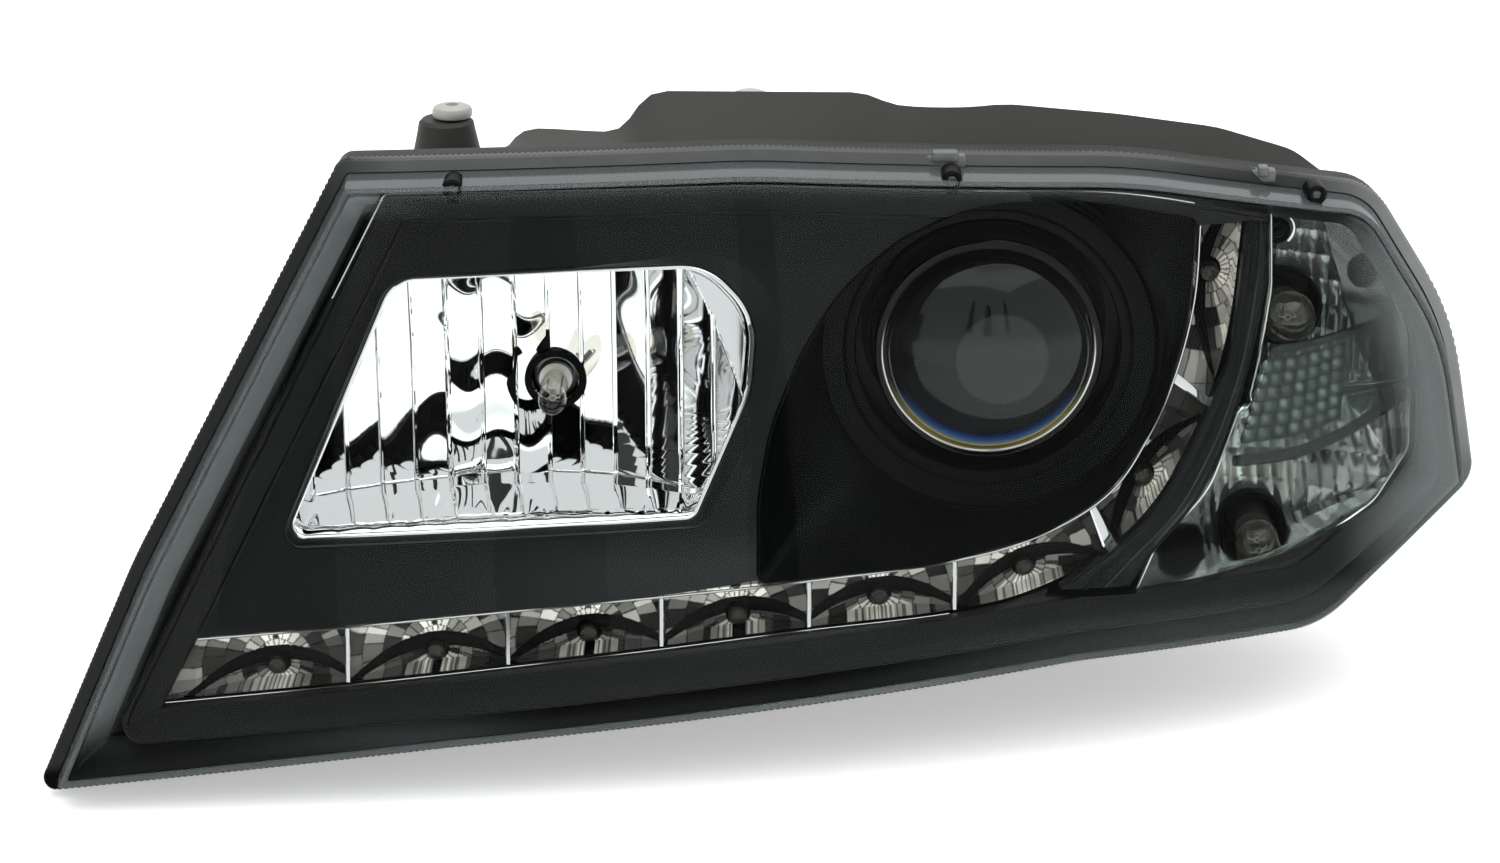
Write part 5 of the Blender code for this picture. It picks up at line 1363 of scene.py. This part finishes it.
def turn_depth(x, z):
    base = 100 - (x - TURN[0]) ** 2 / 150 - (z - TURN[1]) ** 2 / 170
    base = max(base, face_y(x, z) + 19)
    if in_triangle(x, z):
        return max(face_y(x, z) + 18.6, 94 - 0.25 * (x - 200))
    k = (x - 150) / 4.6
    t = (k - math.floor(k)) * 2 - 1
    j = (z + 0.12 * x) / 9.0
    s = (j - math.floor(j)) * 2 - 1
    return base - 0.5 * (1 - t * t) - 0.3 * (1 - s * s)


def park_depth(x, z):
    base = 87 - (x - PARK[0]) ** 2 / 210 - (z - PARK[1]) ** 2 / 240
    base = max(base, face_y(x, z) + 20)
    if in_side_facet(x, z):
        return 62 + 0.35 * (x - 130) + 0.2 * (z + 66)
    k = (x - 150 + 0.15 * z) / 5.2
    t = (k - math.floor(k)) * 2 - 1
    j = z / 12.0
    s = (j - math.floor(j)) * 2 - 1
    return base - 0.5 * (1 - t * t) - 0.2 * (1 - s * s)


def in_poly(x, z, poly):
    inside, j = False, len(poly) - 1
    for i in range(len(poly)):
        (xi, zi), (xj, zj) = poly[i], poly[j]
        if (zi > z) != (zj > z) and x < (xj - xi) * (z - zi) / (zj - zi) + xi:
            inside = not inside
        j = i
    return inside


TRIANGLE = [(191.5, 60), (209.5, 5), (232, 12), (232, 60)]
SIDE_FACET = [(120, -80), (165.5, -80), (146, -40), (120, -40)]


def in_triangle(x, z):
    return in_poly(x, z, TRIANGLE)


def in_side_facet(x, z):
    return in_poly(x, z, SIDE_FACET)


M_CORNER_PAINT = painted("corner_mirror_facets", 0.8, 0.14)


def corner_tone(x, y, z):
    """Metallised corner; the flat outer facet and the small inner one are dimmer, and each has a dark eye, a round
    hole painted as shade.
    """
    n, m = math.floor((x - 150) / 4.6), math.floor((z + 0.12 * x) / 9.0)
    v = (0.16 + 0.42 * hashed(n, m + 50, 2)) * (1.0 if z < -11 else 0.8)
    if in_triangle(x, z):
        v = 0.09 + 0.05 * hashed(math.floor((x + z) / 2.5), 3)
        if ((x - 211.5) / 5.2) ** 2 + ((z - 26) / 6.2) ** 2 < 1:
            v = 0.006
    if z < -11 and in_side_facet(x, z):
        v = 0.13
        if ((x - 150) / 8.5) ** 2 + ((z + 67) / 7.5) ** 2 < 1:
            v = 0.008
    return (v * 0.95, v * 1.0, v * 0.97)


def chamber(name, ctrl, depth, axis, r_hole, replaces):
    field = columns(ctrl, 0, 150, 110, depth)
    bm = bmesh.new()
    bm.from_mesh(field.data)
    gone = [f for f in bm.faces if math.dist((f.calc_center_median().x, f.calc_center_median().z), axis) < r_hole]
    bmesh.ops.delete(bm, geom=gone, context="FACES")
    bm.to_mesh(field.data)
    bm.free()
    finish_piece(field, name, "root", M_CORNER_PAINT, [replaces], 12)
    paint(field, corner_tone)
    thicken(field, 0.8)
    rimline = trace(ctrl, ctrl, 2.0, 8)
    rows = [surfaced(rimline, 17.6)] + [[(x, face_y(x, z) + 17.6 + (depth(x, z) + 0.5 - face_y(x, z) - 17.6) * t, z) for x, z in rimline]
                                        for t in (0.33, 0.66, 1.0)]
    finish_piece(thicken(sheet(rows, True), 0.8), name + "_walls", "root", M_CORNER, angle=20)


TURN_SEEN = [(176.4, 54.5, 3), (176.6, 26, 30), (172.5, 4, 30), (168.5, -11, 3), (228, -11, 3), (228, 5, 20), (213, 38.5, 20), (194, 49.5, 30)]
PARK_SEEN_EDGE = [(165.5, -12, 3), (155, -37, 30), (136, -54, 14), (128, -71, 3), (156, -70, 100), (184, -66, 100), (216, -50, 14), (229, -34, 8), (229, -12, 3)]
chamber("turn_mirror", TURN_SEEN, turn_depth, TURN, 12.4, "turn_reflector")
PARK_SEEN = (PARK[0], PARK[1])
chamber("position_mirror", PARK_SEEN_EDGE, park_depth, PARK_SEEN, 10.6, "position_reflector")
for nm, axis, r, y0, y1 in (("turn_socket", TURN, 12.4, 92, 126), ("position_socket", PARK, 10.6, 80, 126)):
    finish_piece(lathe([(r, y0), (r + 1.2, y0 + 1), (r + 1.2, y1), (0, y1), (0, y1 - 1), (r, y1 - 1)], at(axis, 0), Y, 48), nm, "root", M_SHADE)


def globe(name, axis, y, r, stem_r, back, body, node):
    prof = [(0, y - r)] + [(r * math.sin(a), y - r * math.cos(a)) for a in [math.pi * k / 24 for k in range(1, 19)]]
    prof += [(stem_r + 0.6, y + r * 0.96), (stem_r, y + r * 1.25), (stem_r, back), (0, back)]
    finish_piece(lathe(prof, at(axis, 0), Y, 48), name, body, M_GLOBE, [node], 50)
    coil(name + "_filament", axis, y - 0.3, y + 0.3, 1.0, 3, body, 0.2)
    for k, dx in ((1, -3.0), (2, 3.0)):
        path = [(axis[0] + dx * 0.7, y + r * 1.2, axis[1]), (axis[0] + dx, y + 1, axis[1]), (axis[0] + dx * 0.4, y, axis[1])]
        finish_piece(wire(path, 0.3, 6), f"{name}_lead_{k}", body, M_STEEL)
    seat = lathe([(0, y + r * 1.35), (stem_r * 1.5, y + r * 1.35), (stem_r * 1.6, y + r * 1.5), (stem_r * 1.6, back + 3), (0, back + 3)],
                 at(axis, 0), Y, 32)
    finish_piece(seat, name + "_foot", body, M_BLACK)


globe("turn_globe", TURN, 82, 9.5, 4.6, 111, "turn_lamp", "turn_bulb")
globe("position_globe", PARK, 66, 7.4, 4.2, 107, "position_lamp", "position_bulb")

bar_in, bar_out = curve(ARC_IN), curve(ARC_OUT)
n = len(bar_in)
rows = []
for k in range(13):
    t = k / 12
    crown = 1.6 * math.sin(math.pi * t) + 0.5 * math.sin(3 * math.pi * t)
    rows.append([(a[0] + (b[0] - a[0]) * t, face_y(a[0] + (b[0] - a[0]) * t, a[1] + (b[1] - a[1]) * t) + 11.5 - crown,
                  a[1] + (b[1] - a[1]) * t) for a, b in zip(bar_in, bar_out)])
bottom = [[(p[0], p[1] + 5 + 1.6 * math.sin(math.pi * k / 12), p[2]) for p in row] for k, row in enumerate(rows)]
loops = []
for i in range(n):
    loops.append([rows[k][i] for k in range(13)] + [bottom[k][i] for k in range(12, -1, -1)])
finish_piece(loft(loops, "flat", "flat"), "smoked_arc_bar", "root", M_ARC, ["arc_bar"], 35)
rib = [(p[0] + (q[0] - p[0]) * 0.32, p[1] + (q[1] - p[1]) * 0.32) for p, q in zip(bar_in, bar_out)]
# painted highlight: the third wire, in the bar highlight finish, is a bright line along the bar; the others are its
# darker edges
for k, (share, r, mat_) in enumerate(((0.04, 0.5, M_ARC_EDGE), (0.34, 0.55, M_ARC_EDGE), (0.62, 0.35, M_BAR_HIGHLIGHT), (0.96, 0.5, M_ARC_EDGE)), 1):
    rib = [(p[0] + (q[0] - p[0]) * share, p[1] + (q[1] - p[1]) * share) for p, q in zip(bar_in, bar_out)]
    finish_piece(wire([(x, face_y(x, z) + 10.9 - 1.4 * math.sin(math.pi * share), z) for x, z in rib], r, 8), f"arc_bar_rib_{k}", "root", mat_)

WING_TOP = curve([(176.2, 8.6), (190, 9), (206, 11), (220.5, 13.5)])
WING_BOTTOM = curve([(163.5, -28), (185, -28), (199, -25), (219, -17), (225.4, -14)][:1] + [(185, -28), (204, -23.5), (225.4, -14)])
rows = []
for k in range(41):
    t = k / 40
    row = []
    for i in range(61):
        s = i / 60
        a, b = along(WING_TOP, s), along(WING_BOTTOM, s)
        v = a.lerp(b, t)
        pill_x, pill_z = math.sin(s * math.pi * 9) ** 2, math.sin(t * math.pi * 4) ** 2
        inside = 1.0 if 0.14 < t < 0.86 and s < 0.8 else 0.0
        row.append((v.x, face_y(v.x, v.y) + 11.4 - 1.1 * math.sin(math.pi * t) ** 0.5 + inside * 0.9 * (1 - pill_x * pill_z) * 0.5, v.y))
    rows.append(row)
wing = sheet(rows)
finish_piece(thicken(wing, 1.6, -1), "smoked_wing", "root", M_WING, ["corner_wing"], 40)
for k, (line, r) in enumerate(((WING_TOP, 1.5), (WING_BOTTOM, 1.9)), 1):
    finish_piece(wire([(x, face_y(x, z) + 12.4, z + (1.2 if k == 2 else -1.2)) for x, z in line], r, 10), f"wing_edge_{k}", "root", M_ARC_EDGE)
# pillow optics behind the wing, with a painted highlight on each pillow and painted shade in the gaps between them
rows = []
for k in range(73):
    t = 0.16 + 0.70 * k / 72
    row = []
    for i in range(85):
        s = 0.03 + 0.60 * i / 84
        a, b = along(WING_TOP, s), along(WING_BOTTOM, s)
        v = a.lerp(b, t)
        cell_x, cell_z = (i % 12) / 6 - 1, (k % 12) / 6 - 1
        row.append((v.x, face_y(v.x, v.y) + 17.6 - 1.5 * (1 - cell_x ** 2) * (1 - cell_z ** 2), v.y))
    rows.append(row)
M_PILLOW = painted("pillow_optic", 0.5, 0.12)
pillows = sheet(rows)
finish_piece(pillows, "wing_pillows", "root", M_PILLOW, angle=50)
pillow_list = [(Vector((rows[6 + 12 * m][6 + 12 * c][0], rows[6 + 12 * m][6 + 12 * c][2])), c, m) for m in range(6) for c in range(7)]


# painted highlight up and to the left on each pillow, and painted shade in the gaps between pillows
def pillow_tone(x, y, z):
    here = Vector((x, z))
    centre, c, m = min(pillow_list, key=lambda item: (item[0] - here).length)
    d = here - centre
    inside = ramp(max(abs(d.x) / 2.1, abs(d.y) / 2.0), 1.05, 0.7)
    glint = ramp((d - Vector((-0.5, 0.6))).length, 1.3, 0.5)
    v = 0.03 + 0.10 * inside * (0.4 + hashed(c, m, 3)) + 0.42 * glint * (0.25 + hashed(c, m, 7))
    return (v * 0.97, v, v * 0.93)


paint(pillows, pillow_tone, False)
thicken(pillows, 0.8, -1)

# black boss at the top of the turn-lamp bowl, with a part-circle chrome wire standing for the highlight crescent on
# its edge
boss = lathe([(0, -3.4), (1.4, -3.2), (1.9, -2.2), (3.4, -2.4), (4.4, -1.4), (4.8, 0), (4.8, 14), (0, 14)], (180.2, 84, 42.6), Y, 40)
finish_piece(boss, "turn_bowl_boss", "root", M_GLOSS)
arc = [(180.2 + 5.6 * math.cos(math.radians(a)), 86 , 42.6 + 5.6 * math.sin(math.radians(a))) for a in range(-48, 76, 6)]
finish_piece(wire(arc, 0.85, 10), "turn_bowl_boss_highlight", "root", M_TRIM)

# ------------------------------------------------------------------ housing
def dense_chain(points):
    return dense(curve(points + [points[0]], 6)[:-1], step=2.0)


LOOP_COARSE = (6.0, 6)
rim = lens_loop(-4, *LOOP_COARSE)
mid_chain, rear_chain = dense(HOUSING_MID), dense(HOUSING_REAR)


def soften(points, times=2):
    for _ in range(times):
        points = [((points[i - 1][0] + 2 * p[0] + points[(i + 1) % len(points)][0]) / 4,
                   (points[i - 1][1] + 2 * p[1] + points[(i + 1) % len(points)][1]) / 4) for i, p in enumerate(points)]
    return points


def pulled(points, d):
    out = []
    for x, z in points:
        v = Vector((CENTRE[0] - x, CENTRE[1] - z))
        v = v.normalized() * d
        out.append((x + v.x, z + v.y))
    return out


mid = soften([cast(mid_chain, CENTRE, p) for p in rim], 1)
rear = soften([cast(rear_chain, CENTRE, p) for p in rim], 2)
mid_in, rear_in = pulled(mid, 3.4), pulled(rear, 4.0)
hl = lambda d: lens_loop(d, *LOOP_COARSE)
lerp2 = lambda a, b, t: [(p[0] + (q[0] - p[0]) * t, p[1] + (q[1] - p[1]) * t) for p, q in zip(a, b)]
rings = [surfaced(hl(-7.6), 18.6), surfaced(hl(-7.6), 26.6), surfaced(hl(-3.2), 26.6), surfaced(hl(-3.2), 20.4), surfaced(hl(-2.9), 20.1),
         surfaced(hl(-1.1), 20.1), surfaced(hl(-0.7), 20.6), surfaced(hl(-0.7), 29.2), surfaced(hl(-1.4), 30.2), surfaced(hl(-4.2), 31.4),
         surfaced(hl(-4.9), 32.6), level(mid, mid_y),
         level(lerp2(mid, rear, 0.5), lambda x, z: (mid_y(x, z) + rear_y(x) - 6) / 2),
         level(rear, lambda x, z: rear_y(x) - 7), level(pulled(rear, 0.8), lambda x, z: rear_y(x) - 4), level(pulled(rear, 2.4), lambda x, z: rear_y(x) - 1.4),
         level(pulled(rear, 5), lambda x, z: rear_y(x))]
SC = (0.85, 0.7, 0.5, 0.3, 0.12)
rings += [level(scaled(rear, CENTRE, s), lambda x, z: rear_y(x)) for s in SC]
cap_a = len(rings) - 1
rings += [level(scaled(rear, CENTRE, s), lambda x, z: rear_y(x) - 3) for s in reversed(SC)]
rings += [level(pulled(rear, 8), lambda x, z: rear_y(x) - 3), level(rear_in, lambda x, z: rear_y(x) - 8), level(mid_in, mid_y),
          surfaced(hl(-9.1), 32.6), surfaced(hl(-9.1), 18.6)]
nn = len(rim)
verts = [p for ring in rings for p in ring]
faces = []
for k in list(range(cap_a)) + list(range(cap_a + 1, len(rings) - 1)):
    for i in range(nn):
        j = (i + 1) % nn
        faces.append((k * nn + i, k * nn + j, (k + 1) * nn + j, (k + 1) * nn + i))
last = (len(rings) - 1) * nn
for i in range(nn):
    j = (i + 1) % nn
    faces.append((last + i, last + j, j, i))
verts += [(CENTRE[0], rear_y(CENTRE[0]), CENTRE[1]), (CENTRE[0], rear_y(CENTRE[0]) - 3, CENTRE[1])]
faces += [(cap_a * nn + i, cap_a * nn + (i + 1) % nn, len(verts) - 2) for i in range(nn)]
faces += [((cap_a + 1) * nn + i, (cap_a + 1) * nn + (i + 1) % nn, len(verts) - 1) for i in range(nn)]
housing = solid(verts, faces)


ribs = [soft_block((x, rear_y(x) - 2, z0), (x + 2.2, rear_y(x) + 3.2, z1), 0.6) for x, z0, z1 in
        ((-134, -84, 20), (-24, -88, -42), (8, -88, 20), (152, -40, 44), (165, -40, 30))]
ribs += [soft_block((-132, 109, z), (-98, 115, z + 2.2), 0.6) for z in (-60, 30)]
ribs += [soft_block((-20, rear_y(20) - 16, z), (28, rear_y(20) + 2.6, z + 2.2), 0.6) for z in (-66, -30)]
join(housing, rod(at(LOW, 131), Y, 47.5, 32, 96), rod(at(COVER_HIGH, 106), Y, 34, 26, 80),
     rod(at(TURN, 131.5), Y, 17, 9.5, 48), rod(at(PARK, 131.5), Y, 15, 8.5, 48),
     rod((LX, 120, LZ), Y, 21.5, 15.2, 56), rod((PX, 116, PZ), Y, 9, 16, 32), rod((LX, KNOB_Y, 71), UP, 10, 13.4, 40),
     lathe([(0, 44), (14.5, 44), (12.6, 56), (10.2, 67), (9.6, 70.2), (8.4, 71.4), (0, 71.4)], (AX - 2.2, SHAFT_Y, 0), UP, 64),
     soft_block((AX - 7, 110, -36), (AX + 7, 130, -30)),
     soft_block((-66, 104, 50), (-42, 142, 55)), block((-64, 116, 54), (-44, 140, 58)),
     soft_block((126, 128, 44), (156, 160, 49)), block((129, 138, 48), (153, 158, 52)),
     soft_block((60, 128, -91), (90, 160, -86)), block((63, 138, -94), (87, 158, -90)), *ribs)
cut(housing, rod(at(LOW, 124), Y, 44, 46, 96), rod(at(COVER_HIGH, 96), Y, 31, 40, 80),
    rod(at(TURN, 124), Y, 14.3, 22, 48), rod(at(PARK, 124), Y, 12.3, 22, 48),
    rod((LX, 112, LZ), Y, 7, 30, 32), rod((PX, 112, PZ), Y, 5.3, 15, 32),
    rod((LX, KNOB_Y, 83.4), UP, 7.2, 12, 36), rod((LX, KNOB_Y, 60), UP, 2.8, 40, 24),
    rod((AX, SHAFT_Y, -45), UP, 2.9, 120, 24), rod((AX, 100, AZ), Y, 4.1, 16, 24),
    rod((-54, 133, 45), UP, 3.4, 20, 28), rod((141, 151, 40), UP, 3.4, 20, 28), rod((75, 151, -100), UP, 3.4, 20, 28))
finish_piece(housing, "housing_shell", "root", M_HOUSING, ["housing"], 32)
head = [(0, -47.5), (5.2, -47.5), (7.2, -43.2), (2.4, -43.2), (2.4, 72.0), (6.6, 72.2), (7.0, 72.8), (7.0, 74.6), (6.4, 75.6), (5.0, 76.2), (2.2, 76.4), (2.0, 75.2), (0, 75.2)]
finish_piece(lathe(head, (AX, SHAFT_Y, 0), UP, 48), "adjuster_drive", "side_shaft", M_KNOB, ["adjuster_shaft"], 35)
knob = [(0, 66), (2.2, 66), (2.2, 84.4), (5.6, 84.6), (6.2, 85.2), (6.2, 86.6), (5.4, 87.8), (4.0, 88.4), (0, 88.6)]
finish_piece(lathe(knob, (LX, KNOB_Y, 0), UP, 48), "levelling_knob", "level_wheel", M_KNOB, ["levelling_wheel"], 35)

# ------------------------------------------------------------------ frame parts that keep their shape
CAD_LOOKS = {
    "tab_sleeve_1": M_STEEL, "tab_sleeve_2": M_STEEL, "tab_sleeve_3": M_STEEL, "led_board": M_BOARD, "turn_holder_seal": M_RUBBER,
    "turn_holder": M_BLACK, "position_holder_seal": M_RUBBER, "position_holder": M_BLACK, "high_beam_clip": M_STEEL, "high_beam_plug": M_BLACK,
    "cutoff_shield": M_STEEL, "projector_reflector": M_CHROME, "low_beam_bulb": M_BULB, "low_beam_bulb_base": M_STEEL, "low_beam_clip": M_STEEL,
    "low_beam_plug": M_BLACK, "low_beam_cover": M_RUBBER, "low_beam_cover_seal": M_RUBBER, "high_beam_cover": M_RUBBER,
    "high_beam_cover_seal": M_RUBBER, "aim_frame": M_BLACK, "pivot_ball": M_STEEL, "pivot_bush": M_NATURAL, "adjuster_socket": M_NATURAL,
    "level_socket": M_NATURAL, "adjuster_nut": M_NATURAL, "adjuster_screw": M_STEEL, "levelling_spindle": M_NATURAL,
    "levelling_motor": M_BLACK, "main_connector": M_BLACK, "led_driver": M_ALLOY, "breather": M_RUBBER}
for node, material in CAD_LOOKS.items():
    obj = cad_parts[node]
    obj.data.materials.clear()
    obj.data.materials.append(material)
    if node not in ("led_board", "projector_reflector"):
        bevel = obj.modifiers.new("edge", "BEVEL")
        bevel.width, bevel.segments, bevel.limit_method = 0.0005, 2, "ANGLE"
        bevel.angle_limit = math.radians(40)

# ------------------------------------------------------------------ studio
def place(p):
    return MM @ Vector(p)


FLOOR_Z = -117.0
floor_mesh = bpy.data.meshes.new("floor")
floor_mesh.from_pydata([tuple(place((x, y, FLOOR_Z))) for x, y in ((-4000, -4000), (4000, -4000), (4000, 6000), (-4000, 6000))], [], [(0, 1, 2, 3)])
floor = bpy.data.objects.new("floor", floor_mesh)
bpy.context.scene.collection.objects.link(floor)
m, nodes, links = new_material("paper_white")
nodes["Principled BSDF"].inputs["Base Color"].default_value = (0.93, 0.93, 0.93, 1)
nodes["Principled BSDF"].inputs["Roughness"].default_value = 0.9
nodes["Principled BSDF"].inputs["Specular IOR Level"].default_value = 0.1
nodes["Principled BSDF"].inputs["Emission Color"].default_value = (1, 1, 1, 1)
nodes["Principled BSDF"].inputs["Emission Strength"].default_value = 0.38
paper = nodes.new("ShaderNodeTexNoise")
paper.inputs["Scale"].default_value = 400
shade = nodes.new("ShaderNodeMapRange")
shade.inputs["To Min"].default_value, shade.inputs["To Max"].default_value = 0.86, 0.94
links.new(paper.outputs["Fac"], shade.inputs["Value"])
links.new(shade.outputs["Result"], nodes["Principled BSDF"].inputs["Base Color"])
floor_mesh.materials.append(m)

world = bpy.data.worlds.new("studio")
bpy.context.scene.world = world
world.use_nodes = True
wn, wl = world.node_tree.nodes, world.node_tree.links
bg = wn["Background"]
bg.inputs["Color"].default_value = (1, 1, 1, 1)
bg.inputs["Strength"].default_value = 1.0


def area_light(name, where, aim, size, power, size_y=None, colour=(1, 1, 1)):
    data = bpy.data.lights.new(name, "AREA")
    data.shape = "RECTANGLE"
    data.size, data.size_y = size, size_y or size
    data.energy, data.color = power, colour
    lamp = bpy.data.objects.new(name, data)
    bpy.context.scene.collection.objects.link(lamp)
    lamp.location = place(where)
    lamp.rotation_euler = (place(aim) - lamp.location).to_track_quat("-Z", "Y").to_euler()
    return lamp


area_light("top_soft", (100, 0, 1500), (0, 40, 0), 2.6, 26, 2.4)


def card(name, corners, value, glow=0.0):
    """A studio card seen only in reflections."""
    mesh = bpy.data.meshes.new(name)
    mesh.from_pydata([tuple(place(c)) for c in corners], [], [(0, 1, 2, 3)])
    obj = bpy.data.objects.new(name, mesh)
    bpy.context.scene.collection.objects.link(obj)
    mat, n, l = new_material(name + "_paint")
    n.remove(n["Principled BSDF"])
    e = n.new("ShaderNodeEmission")
    e.inputs["Color"].default_value = (value, value, value, 1)
    l.new(e.outputs[0], n["Material Output"].inputs["Surface"])
    mesh.materials.append(mat)
    obj.visible_camera = obj.visible_diffuse = obj.visible_shadow = False
    obj.visible_transmission = False
    return obj


card("dark_front_1", [(-300, -1500, 100), (-170, -1500, 100), (-190, -1500, 900), (-260, -1500, 900)], 0.03)
card("dark_front_2", [(20, -1500, 60), (190, -1500, 60), (150, -1500, 760), (60, -1500, 760)], 0.04)
card("dark_front_3", [(420, -1500, 100), (520, -1500, 100), (500, -1500, 900), (440, -1500, 900)], 0.03)
card("dark_left", [(-1300, -900, -117), (-1300, 300, -117), (-1300, 300, 500), (-1300, -900, 500)], 0.06)

camera_data = bpy.data.cameras.new("camera")
camera = bpy.data.objects.new("camera", camera_data)
bpy.context.scene.collection.objects.link(camera)
ELEV = math.radians(20.0)
camera.location = place((0, -1100 * math.cos(ELEV), 1100 * math.sin(ELEV)))
camera.rotation_euler = (math.radians(90) - ELEV, 0, 0)
camera_data.sensor_width, camera_data.lens = 36.0, 3410.0 / 1500 * 36
camera_data.clip_start, camera_data.clip_end = 0.05, 50
bpy.context.scene.camera = camera
bpy.context.scene.view_settings.view_transform = "Standard"
